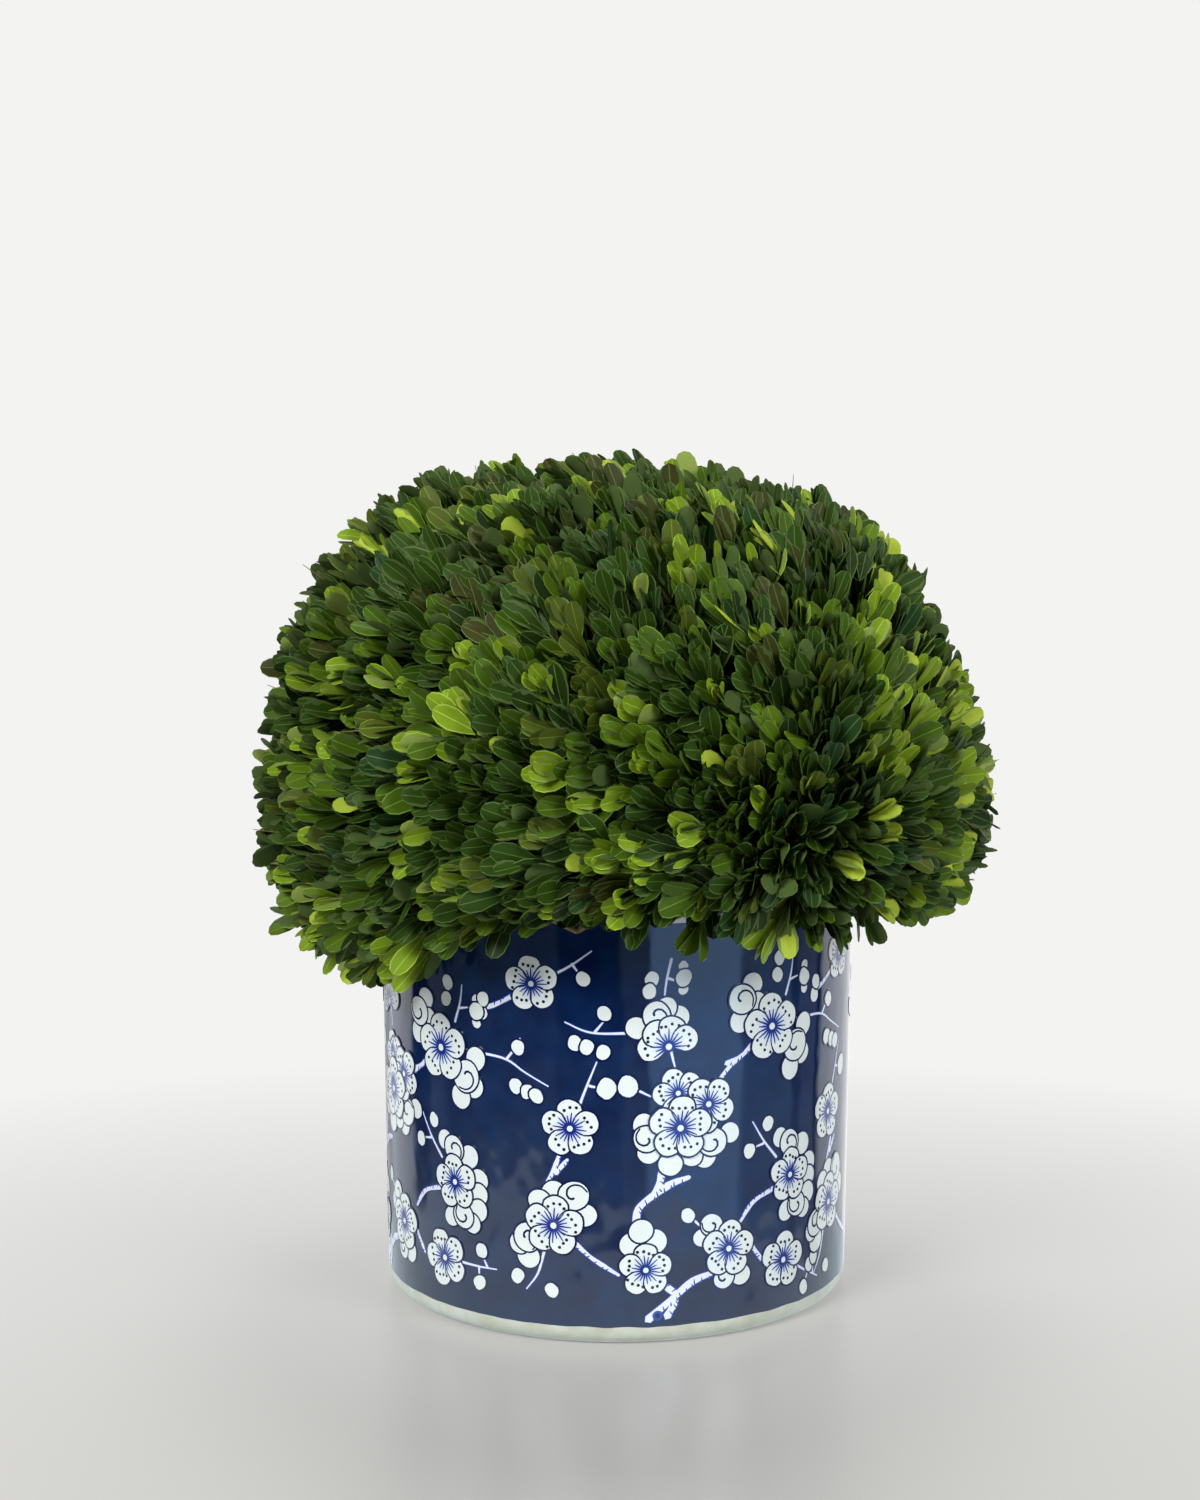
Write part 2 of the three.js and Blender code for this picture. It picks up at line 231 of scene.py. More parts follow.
def turned(x, y, angle):
    return Vector((x * math.cos(angle) - y * math.sin(angle), x * math.sin(angle) + y * math.cos(angle)))


def uneven(x, y, z, amount, length):
    """The point lifted or lowered by noise whose features measure so many millimetres."""
    return x, y, z + amount * noise.noise(Vector((x, y, z)) / length)


def way_along(path, i):
    return (path[min(i + 1, len(path) - 1)] - path[max(i - 1, 0)]).normalized()


def between_rings(rings):
    """Faces between each ring of vertex numbers and the next. A ring may be one number repeated."""
    faces = []
    for lower, upper in zip(rings, rings[1:]):
        for k in range(len(lower)):
            after = (k + 1) % len(lower)
            faces.append(tuple(dict.fromkeys((lower[k], lower[after], upper[after], upper[k]))))
    return faces


def smooth_path(points, step):
    """Points about every step on a smooth line through the points given, ends included."""
    points = [Vector(p) for p in points]
    line = [2 * points[0] - points[1], *points, 2 * points[-1] - points[-2]]
    path = []
    for i in range(1, len(line) - 2):
        before, here, there, after = line[i - 1 : i + 3]
        count = max(1, math.ceil((there - here).length / step))
        for k in range(count):
            t = k / count
            bend = 2 * before - 5 * here + 4 * there - after
            turn = 3 * here - before - 3 * there + after
            path.append(here + 0.5 * ((there - before) * t + bend * t * t + turn * t**3))
    path.append(points[-1])
    return path


print("a bent path has", len(smooth_path([(0, 0), (10, 0), (15, 8)], 2)), "points")

# %% [markdown]
# ## Camera
# The photograph was taken from a little above the dome, about 1.2 m away. The lens is worked out from the
# size of the pot in the picture: 2790 pixels of focal length on a picture 1500 pixels tall.

# %% Camera
PICTURE = (1200, 1500)
FOCAL_PIXELS = 2790
SENSOR_WIDTH = 36
CAMERA_PLACE = (0, -1200, 387)
LOOKING_DOWN = 7.33
LEANING = 0.35
camera_lens = bpy.data.cameras.new("camera")
camera_lens.sensor_width = SENSOR_WIDTH
camera_lens.lens = FOCAL_PIXELS * SENSOR_WIDTH / max(PICTURE)
camera = bpy.data.objects.new("camera", camera_lens)
camera.location = Vector(CAMERA_PLACE) * MM
camera.rotation_euler = (math.radians(90 - LOOKING_DOWN), 0, math.radians(LEANING))
bpy.context.scene.collection.objects.link(camera)
bpy.context.scene.camera = camera
print("lens:", round(camera_lens.lens, 2), "mm")

# %% [markdown]
# ## Floor and light
# The pot stands on a pale satin top in a bright white room. A plane is enough for the top: lit pale grey in
# front of the pot. Further out, for the camera, it glows white: painted light that runs into the white of
# the room, so no horizon shows, and that washes out the shadows cast on it there. Wide lamps at the upper
# left and at the right give the soft light from the front, and one high up behind the plant lays its soft
# shadow in front of the pot.
# Glaze is a mirror, so what stands round a glazed pot decides its look. Mirror rays therefore see a sky of
# their own. It has upright bands, which stand for windows and for dark things beside the photographer, and
# the pale table below them. All other light comes from a plain soft sky, and the camera sees only white.

# %% Floor
FLOOR_HALF = 4000
# Painted light: for the camera the floor glows white, least at this point in front of the pot, more away
# from it
PAINTED_GLOW_MIDDLE = Vector((0, -280, 0)) * MM  # the top is greyest in front of the pot
PAINTED_GLOW_REACH = (0.05, 0.68)  # metres from there
ROOM_WHITE = "#f3f3f1"
floor_finish = make_finish("satin_pale_tabletop", "#abaaa7", 0.3)
floor_tree = floor_finish.node_tree
floor_place = output_of(floor_tree, "ShaderNodeTexCoord", output="Object")
floor_reach = output_of(
    floor_tree, "ShaderNodeVectorMath", {0: floor_place, 1: PAINTED_GLOW_MIDDLE}, "Value", operation="DISTANCE"
)
floor_spread = map_range(floor_tree, floor_reach, *PAINTED_GLOW_REACH)
# The camera sees the lit grey mixed with the white glow by that share: painted light over the floor's
# shadows
floor_ray = output_of(floor_tree, "ShaderNodeLightPath", output="Is Camera Ray")
painted_glow_share = math_of(floor_tree, "MULTIPLY", floor_spread, floor_ray)
floor_grey = floor_tree.nodes[SHADER].outputs[0]
floor_painted_glow = output_of(floor_tree, "ShaderNodeEmission", {"Color": linear(ROOM_WHITE)})
floor_both = output_of(floor_tree, "ShaderNodeMixShader", {0: painted_glow_share, 1: floor_grey, 2: floor_painted_glow})
floor_tree.links.new(floor_both, floor_tree.nodes["Material Output"].inputs["Surface"])
corners = [(x * FLOOR_HALF, y * FLOOR_HALF, 0) for x, y in ((-1, -1), (1, -1), (1, 1), (-1, 1))]
floor = make_piece("floor", make_mesh("floor", corners, [(0, 1, 2, 3)], [floor_finish]))
floor.visible_glossy = False
print("floor:", 2 * FLOOR_HALF * MM, "m")

# %% Room light
SOFT_SKY = (0.17, 0.172, 0.174, 1)
BRIGHTEST = 1.3
BRIGHT_ROOM = (0.6, 0.6, 0.6, 1)
TABLE_IN_GLAZE = (0.72, 0.82, 0.84, 1)
# Heights are the upward part of a ray's direction: where the table's edge lies, how soft it is, where its
# glow fades, and where the bands give way to the bright room
TABLE_EDGE = (-0.352, -0.297)
TABLE_SOFT = (-0.004, 0.002)
GLOW_FADE = (-0.312, -0.257)
GLOW = 0.2
BANDS_END = (-0.02, 0.12)
# Upright bands seen in the glaze: (from, to, colour, table), in degrees round from straight behind the
# camera. Colours are shares of BRIGHTEST. Table says how high the table seems to reach: 0 low, 1 high.
GLAZE_BANDS = (
    (-180, -154, (0.45, 0.47, 0.48), 1),
    (-146, -121, (0.85, 0.88, 0.92), 1),
    (-117, -106, (0.01, 0.015, 0.03), 0.8),
    (-103, -94, (0.13, 0.15, 0.22), 0.8),
    (-91, -30, (0.055, 0.085, 0.13), 0.6),
    (-27, 1, (0.0, 0.0, 0.01), 0.15),
    (4, 14, (0.10, 0.14, 0.18), 0.2),
    (17, 61, (0.49, 0.82, 1.35), 0.3),
    (64, 94, (0.18, 0.28, 0.46), 0.35),
    (96, 99, (0.05, 0.07, 0.12), 0.4),
    (101, 113, (0.16, 0.20, 0.32), 0.4),
    (115, 117, (0.01, 0.015, 0.03), 0.6),
    (120, 145, (0.90, 0.95, 1.0), 0.8),
    (152, 180, (0.95, 0.98, 1.0), 1),
)
world = bpy.data.worlds.new("white_room")
bpy.context.scene.world = world
world.use_nodes = True
sky = world.node_tree
sky.nodes.clear()
direction = output_of(sky, "ShaderNodeTexCoord", output="Generated")
across, along, upward = add_node(sky, "ShaderNodeSeparateXYZ", {0: direction}).outputs
azimuth = math_of(sky, "ARCTAN2", across, math_of(sky, "MULTIPLY", along, -1.0))
round_share = map_range(sky, azimuth, -math.pi, math.pi)
bands = ramp_of(
    sky,
    round_share,
    [
        ((degrees + 180) / 360, (*colour, table))
        for start, end, colour, table in GLAZE_BANDS
        for degrees in (start, end)
    ],
)


def sky_mix(share, first, second):
    return output_of(sky, "ShaderNodeMix", {"Factor": share, 6: first, 7: second}, 2, data_type="RGBA")


# Under the bands lies the table, and over them the bright room. Towards the table all bands get lighter.
table_edge = map_range(sky, bands["Alpha"], 0.0, 1.0, *TABLE_EDGE)
above_table = map_range(sky, math_of(sky, "SUBTRACT", upward, table_edge), *TABLE_SOFT)
glow = map_range(sky, upward, *GLOW_FADE, GLOW, 0.0)
lighter = sky_mix(glow, bands["Color"], TABLE_IN_GLAZE)
banded = sky_mix(above_table, TABLE_IN_GLAZE, lighter)
room = sky_mix(map_range(sky, upward, *BANDS_END), banded, BRIGHT_ROOM)
mirrored = output_of(sky, "ShaderNodeBackground", {"Color": room, "Strength": BRIGHTEST})
soft = output_of(sky, "ShaderNodeBackground", {"Color": SOFT_SKY})
seen = output_of(sky, "ShaderNodeBackground", {"Color": linear(ROOM_WHITE)})
ray = add_node(sky, "ShaderNodeLightPath").outputs
for_light = output_of(sky, "ShaderNodeMixShader", {0: ray["Is Glossy Ray"], 1: soft, 2: mirrored})
either = output_of(sky, "ShaderNodeMixShader", {0: ray["Is Camera Ray"], 1: for_light, 2: seen})
add_node(sky, "ShaderNodeOutputWorld", {"Surface": either})
bpy.context.scene.view_settings.view_transform = "Standard"
LAMP_AIM = (0, 0, 200)


def add_lamp(name, place, size, watts):
    lamp = bpy.data.lights.new(name, "AREA")
    lamp.shape = "DISK"
    lamp.size = size * MM
    lamp.energy = watts
    holder = bpy.data.objects.new(name, lamp)
    holder.location = Vector(place) * MM
    holder.rotation_euler = (Vector(LAMP_AIM) - Vector(place)).to_track_quat("-Z", "Y").to_euler()
    bpy.context.scene.collection.objects.link(holder)


add_lamp("window_left", (-1150, -1600, 1550), size=1000, watts=58)
add_lamp("window_right", (1500, -1250, 1200), size=1100, watts=30)
add_lamp("window_behind", (50, 620, 2100), size=650, watts=12)
print("room ready:", len(sky.nodes), "nodes")

# %% [markdown]
# ## The pot
# The pot is thrown porcelain. It is turned about its own axis, so a profile of radii and heights is swept
# round once. The foot is bare of blue, the wall is cobalt under a clear glaze, and the rim and inside are
# white. Clear lead glaze is glassy, with low roughness and a high IOR. It is never quite even, and a very
# shallow, slow bump makes the reflections waver as they do on the real pot.

# %% Glazes
GLAZE_IOR = 1.62
GLAZE_ROUGHNESS = 0.06
GLAZE_WAVE = 22  # millimetres across one slow swell of the glaze
GLAZE_WAVE_DEPTH = 0.5


def glaze(name, colour, roughness=GLAZE_ROUGHNESS):
    material = make_finish(name, colour, roughness, IOR=GLAZE_IOR)
    wave = object_noise(material, GLAZE_WAVE, detail=2.0, stretch=(1, 1, 0.6))
    add_bump(material, wave, GLAZE_WAVE_DEPTH)
    return material


cobalt_glaze = glaze("cobalt_under_clear_glaze", "#08184c")
cobalt_cloud = object_noise(cobalt_glaze, 15, detail=4.0)
mix_colours(cobalt_glaze, cobalt_cloud, [(0.3, "#07173c"), (0.7, "#0b254d")])
white_glaze = glaze("white_porcelain_glaze", "#e4e6df")
foot_glaze = glaze("thin_cream_glaze_of_the_foot", "#d9dacb", roughness=0.3)
foot_cloud = object_noise(foot_glaze, 9, detail=4.0)
mix_colours(foot_glaze, foot_cloud, [(0.3, "#b3b8a6"), (0.7, "#c8cfc6")])
print("glazes:", cobalt_glaze.name, white_glaze.name, foot_glaze.name)

# %% Pot
POT_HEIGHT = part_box("pot")[1].z / MM
RIM_RADIUS = 102.5
FOOT_RADIUS = 100.5
POT_WALL = 7
POT_FLOOR = 8
POT_SIDES = 256
FOOT_BAND = 7.8
RIM_BAND = 175.5
RIM_EDGE = 1.4
FOOT_ROUND = 6
BRUSH_UNEVEN = 0.5
BRUSH_UNEVEN_LENGTH = 9
COBALT, WHITE, FOOT = range(3)


def pot_radius(height):
    return mix(FOOT_RADIUS, RIM_RADIUS, height / POT_HEIGHT)


def arc(middle_radius, middle_height, size, first, last, steps=5):
    angles = [math.radians(mix(first, last, k / steps)) for k in range(steps + 1)]
    return [(middle_radius + size * math.cos(a), middle_height + size * math.sin(a)) for a in angles]


def sweep_round(profile, sides):
    """Vertices and faces of a closed profile of (radius, height), turned about Z."""
    vertices = []
    rings = []
    for radius, height in profile:
        first = len(vertices)
        if radius == 0:
            vertices.append((0, 0, height))
            rings.append([first] * sides)
        else:
            vertices += [(radius * math.cos(t), radius * math.sin(t), height) for t in angles_round(sides)]
            rings.append(range(first, first + sides))
    return vertices, between_rings(rings)


foot_arc = arc(FOOT_RADIUS - FOOT_ROUND, FOOT_ROUND, FOOT_ROUND, -90, 0)
outer_rim = arc(RIM_RADIUS - RIM_EDGE, POT_HEIGHT - RIM_EDGE, RIM_EDGE, 0, 90)
inner_rim = arc(RIM_RADIUS - POT_WALL + RIM_EDGE, POT_HEIGHT - RIM_EDGE, RIM_EDGE, 90, 180)
wall_lines = [(pot_radius(FOOT_BAND), FOOT_BAND), (pot_radius(RIM_BAND), RIM_BAND)]
inside = [(pot_radius(POT_FLOOR) - POT_WALL, POT_FLOOR), (0, POT_FLOOR)]
pot_profile = [(0, 0), *foot_arc, *wall_lines, *outer_rim, *inner_rim, *inside]
pot_points, pot_faces = sweep_round(pot_profile, POT_SIDES)
# The brush left the blue's lower edge a little uneven
foot_line = 1 + len(foot_arc) * POT_SIDES
for i in range(foot_line, foot_line + POT_SIDES):
    pot_points[i] = uneven(*pot_points[i], BRUSH_UNEVEN, BRUSH_UNEVEN_LENGTH)
foot_rings = len(foot_arc) + 1
finish_of_ring = [FOOT] * foot_rings + [COBALT] + [WHITE] * (len(pot_profile) - foot_rings - 2)
finish_of_face = [finish for finish in finish_of_ring for _ in range(POT_SIDES)]
pot_finishes = [cobalt_glaze, white_glaze, foot_glaze]
pot_mesh = make_mesh("pot", pot_points, pot_faces, pot_finishes, finish_of_face, SHARP_ANGLE)
belongs(make_piece("porcelain_pot", pot_mesh), "glaze", "pot")

# %% [markdown]
# ## The plum blossom painting
# On the real pot the pattern is drawn under the glaze: cream petals left bare, navy outlines, fine blue
# stamens, pale branches. It could be one shader, but the drawing is made of a few hundred strokes with
# places of their own. So each touch of the brush is a thin closed mesh laid on the wall, a few
# hundredths of a millimetre proud, each a little higher than the one painted before it.
# Places are (round, up) in millimetres: how far round the wall from the front, and how high.

# %% Brush helpers
BRUSH_STEP = 2.0  # the flats of a touch are short, so it follows the round wall
FIRST_LAYER = 0.03
LAYER = 0.012
SUNK = 0.25
WALL_ROUND = 101.5
STROKE_END = 0.45  # a stroke runs so far on, as a share of its width
OVAL_POINTS = 22
paint = {}


def on_wall(place, lift):
    turn = place[0] / WALL_ROUND
    radius = pot_radius(place[1]) + lift
    return (radius * math.sin(turn), -radius * math.cos(turn), place[1])


def lay_touch(colour, places, rim, faces, level, wash=None):
    """Adds a closed touch of paint. Its first places are its rim, turning to the left; rim counts them."""
    vertices, all_faces, washes = paint.setdefault(colour, ([], [], []))
    first = len(vertices)
    below = first + len(places)
    vertices.extend(on_wall(place, FIRST_LAYER + level * LAYER) for place in places)
    vertices.extend(on_wall(place, -SUNK) for place in places[:rim])
    washes.extend(wash(place) if wash else 0.0 for place in places)
    washes.extend([0.0] * rim)
    all_faces.extend(tuple(first + i for i in face) for face in faces)
    all_faces.extend(between_rings([range(below, below + rim), range(first, first + rim)]))
    all_faces.append(tuple(reversed(range(below, below + rim))))


def dab(colour, middle, outline, level, wash=None):
    """A filled round touch: rings from its outline to its middle."""
    middle = Vector(middle)
    rings = max(1, math.ceil(max((place - middle).length for place in outline) / BRUSH_STEP))
    count = len(outline)
    places = [middle.lerp(place, 1 - ring / rings) for ring in range(rings) for place in outline]
    loops = [range(ring * count, (ring + 1) * count) for ring in range(rings)]
    faces = between_rings([*loops, [len(places)] * count])
    lay_touch(colour, [*places, middle], count, faces, level, wash)


def stroke(colour, points, widths, level):
    """A brush line through the points, whose width runs evenly through the widths given."""
    path = smooth_path(points, BRUSH_STEP)
    last = len(path) - 1
    left = []
    right = []
    for i, place in enumerate(path):
        along = way_along(path, i)
        run = i / last * (len(widths) - 1)
        part = min(int(run), len(widths) - 2)
        half = mix(widths[part], widths[part + 1], run - part) / 2
        square = Vector((-along.y, along.x)) * half
        left.append(place + square)
        right.append(place - square)
    start = path[0] - way_along(path, 0) * widths[0] * STROKE_END
    end = path[-1] + way_along(path, last) * widths[-1] * STROKE_END
    places = [*right, end, *reversed(left), start]
    total = len(places)
    faces = [(i, i + 1, total - 3 - i, total - 2 - i) for i in range(last)]
    faces += [(last, last + 1, last + 2), (total - 2, total - 1, 0)]
    lay_touch(colour, places, total, faces, level)


def round_shape(middle, wide, tall, turn=0.0, points=OVAL_POINTS, unevenness=0.05):
    """The outline of an oval drawn by hand."""
    middle = Vector(middle)
    outline = []
    for angle in angles_round(points):
        place = Vector((middle.x * 3 + math.cos(angle), middle.y, math.sin(angle)))
        wobble = 1 + unevenness * noise.noise(place)
        x = wide * wobble * math.cos(angle)
        y = tall * wobble * math.sin(angle)
        outline.append(middle + turned(x, y, turn))
    return outline


dab("trial", (0, 90), round_shape((0, 90), 5, 4), 1)
print("a round dab has", len(paint.pop("trial")[1]), "faces")

# %% [markdown]
# ### Petals, stamens, buds and branches
# A blossom has five rounded petals that narrow to its heart, about twenty stamens, and three or four dots
# near the edge of each petal. The petals crowding behind an open blossom are plain round scales, some with
# a curl drawn in them. Each cream shape has a navy one under it, a little wider, that leaves an outline.

# %% Blossoms
OUTLINE = 0.8
# Shares of a blossom's reach from its heart
PETAL_MIDDLE = 0.62
PETAL_HALF_WIDTH = 0.42
PETAL_OUTER = 0.38
PETAL_INNER = 0.55
PETAL_NARROWING = 0.45
WASH_REACH = 0.58
DOTS_OUT = 0.7
STAMEN_LENGTH = 0.52
STAMEN_WIDTHS = (0.07, 0.034)
BLUE_HEART = 0.19
CREAM_HEART = 0.105
PETAL_UNEVEN = 0.09
DOT_SIZE = 0.7
DOT_STEP = 0.28  # radians
STAMENS = 20
STAMENS_NEAR = 0.75  # radians from the middle line of a petal
FIVE_PETALS = (90, 162, 234, 306, 18)
HALF_OPEN_PETALS = (183, 134, 80, 24)


def petal_shape(heart, reach, turn, extra=0.0):
    """A petal's outline: broad and round outside, drawn in to the blossom's heart."""
    out = facing(turn)
    across = Vector((-out.y, out.x))
    middle = Vector(heart) + out * PETAL_MIDDLE * reach
    outline = []
    for angle in angles_round(OVAL_POINTS):
        cosine = math.cos(angle)
        place = Vector((heart[0] + 5 * turn + 1.3 * cosine, heart[1], 1.3 * math.sin(angle)))
        wobble = 1 + PETAL_UNEVEN * noise.noise(place)
        side = (PETAL_HALF_WIDTH * reach + extra) * math.sin(angle)
        if cosine > 0:
            along = (PETAL_OUTER * reach + extra) * cosine * wobble
        else:
            along = (PETAL_INNER * reach + 0.3 * extra) * cosine
            side *= 1 - PETAL_NARROWING * cosine**2
        outline.append(middle + out * along + across * (side * wobble))
    return middle, outline


def pollen_dots(heart, reach, turn, count, level):
    for k in range(count):
        angle = turn + DOT_STEP * (k - (count - 1) / 2) + 0.05 * math.sin(7 * k + 3 * turn + heart.x)
        out = DOTS_OUT + 0.07 * math.sin(5 * k + 11 * turn + heart.y)
        place = heart + facing(angle) * reach * out
        dab("dots", place, round_shape(place, DOT_SIZE, DOT_SIZE, 0, 8, 0), level)


def blossom(heart, reach, level, turns=FIVE_PETALS, roll=0.0):
    """Petals laid one over another, then dots, stamens and the heart. It fills this many levels."""
    wash = lambda place: max(0.0, 1 - (place - heart).length / (WASH_REACH * reach))
    turns = [math.radians(turn + roll) for turn in turns]
    for number, turn in enumerate(turns):
        dab("navy", *petal_shape(heart, reach, turn, OUTLINE), level + 2 * number)
        dab("cream", *petal_shape(heart, reach, turn), level + 2 * number + 1, wash)
    level += 2 * len(turns)
    for number, turn in enumerate(turns):
        pollen_dots(heart, reach, turn, 4 - (number + int(abs(heart.x))) % 2, level)
    for k, angle in enumerate(angles_round(STAMENS)):
        angle += roll
        if min(abs(math.remainder(angle - turn, 2 * math.pi)) for turn in turns) > STAMENS_NEAR:
            continue
        length = reach * (STAMEN_LENGTH + 0.08 * math.cos(5 * angle + k))
        line = [heart + facing(angle) * reach * 0.1, heart + facing(angle) * length]
        stroke("stamens", line, [wide * reach for wide in STAMEN_WIDTHS], level)
    dab("stamens", heart, round_shape(heart, BLUE_HEART * reach, BLUE_HEART * reach, 0, 14), level + 1)
    dab("cream", heart, round_shape(heart, CREAM_HEART * reach, CREAM_HEART * reach, 0, 12), level + 2)
    return 2 * len(turns) + 3


def outlined_oval(place, wide, tall, level, *shape):
    """A cream oval over a navy one that is a little wider."""
    dab("navy", place, round_shape(place, wide + OUTLINE, tall + OUTLINE, *shape), level)
    dab("cream", place, round_shape(place, wide, tall, *shape), level + 1)


def scale_petal(place, size, level, curled):
    turn = place.x * 0.7
    outlined_oval(place, size, size * 0.93, level, turn)
    if curled:
        curl = [place + facing(turn + 0.55 * k) * size * 0.95 * (0.98 - 0.1 * k) for k in range(9)]
        stroke("navy", curl, [0.7, 0.8, 1.1], level + 2)


def bud(place, size, level):
    outlined_oval(place, size, size * 1.15, level, 0.5 * math.sin(place.x + place.y), 16, 0.16)


print("a blossom has", STAMENS, "stamens")

# %% Branches
BRANCH_WIDTH = 2.3
BOUGH_WIDTH = 3.6
NOTCH_STEP = 1.9


def twig_stroke(points, level):
    """A thin pale twig with blue edges."""
    stroke("blue", points, [1.7, 1.4, 1.0], level)
    stroke("pale", points, [1.15, 0.85, 0.5], level + 1)


def branch_stroke(points, level, wide):
    """A pale branch that tapers: blue edges, and a few short blue notches in its lower side."""
    widths = [wide * share for share in (1, 0.75, 0.95, 0.55)]
    stroke("blue", points, [width + 0.6 for width in widths], level)
    stroke("pale", points, [width - 0.15 for width in widths], level + 1)
    path = smooth_path(points, NOTCH_STEP)
    for number, (here, there) in enumerate(zip(path[1:-1], path[2:])):
        if number % 5 in (1, 4):
            continue
        along = (there - here).normalized()
        square = Vector((along.y, -along.x))
        depth = 0.5 + 0.2 * math.sin(here.x * 2 + here.y)
        notch = [here + square * wide * 0.55, here + along * 0.7 + square * wide * (0.55 - depth)]
        stroke("blue", notch, [0.75, 0.35], level + 2)


print("branches:", BRANCH_WIDTH, "mm wide, boughs:", BOUGH_WIDTH)

# %% [markdown]
# ### The sprays of the pattern
# The pattern repeats four times round the pot, and the painter shifted each spray a little each time. A
# spray is written once, with its parts placed from its own middle, and then laid at each of its places.

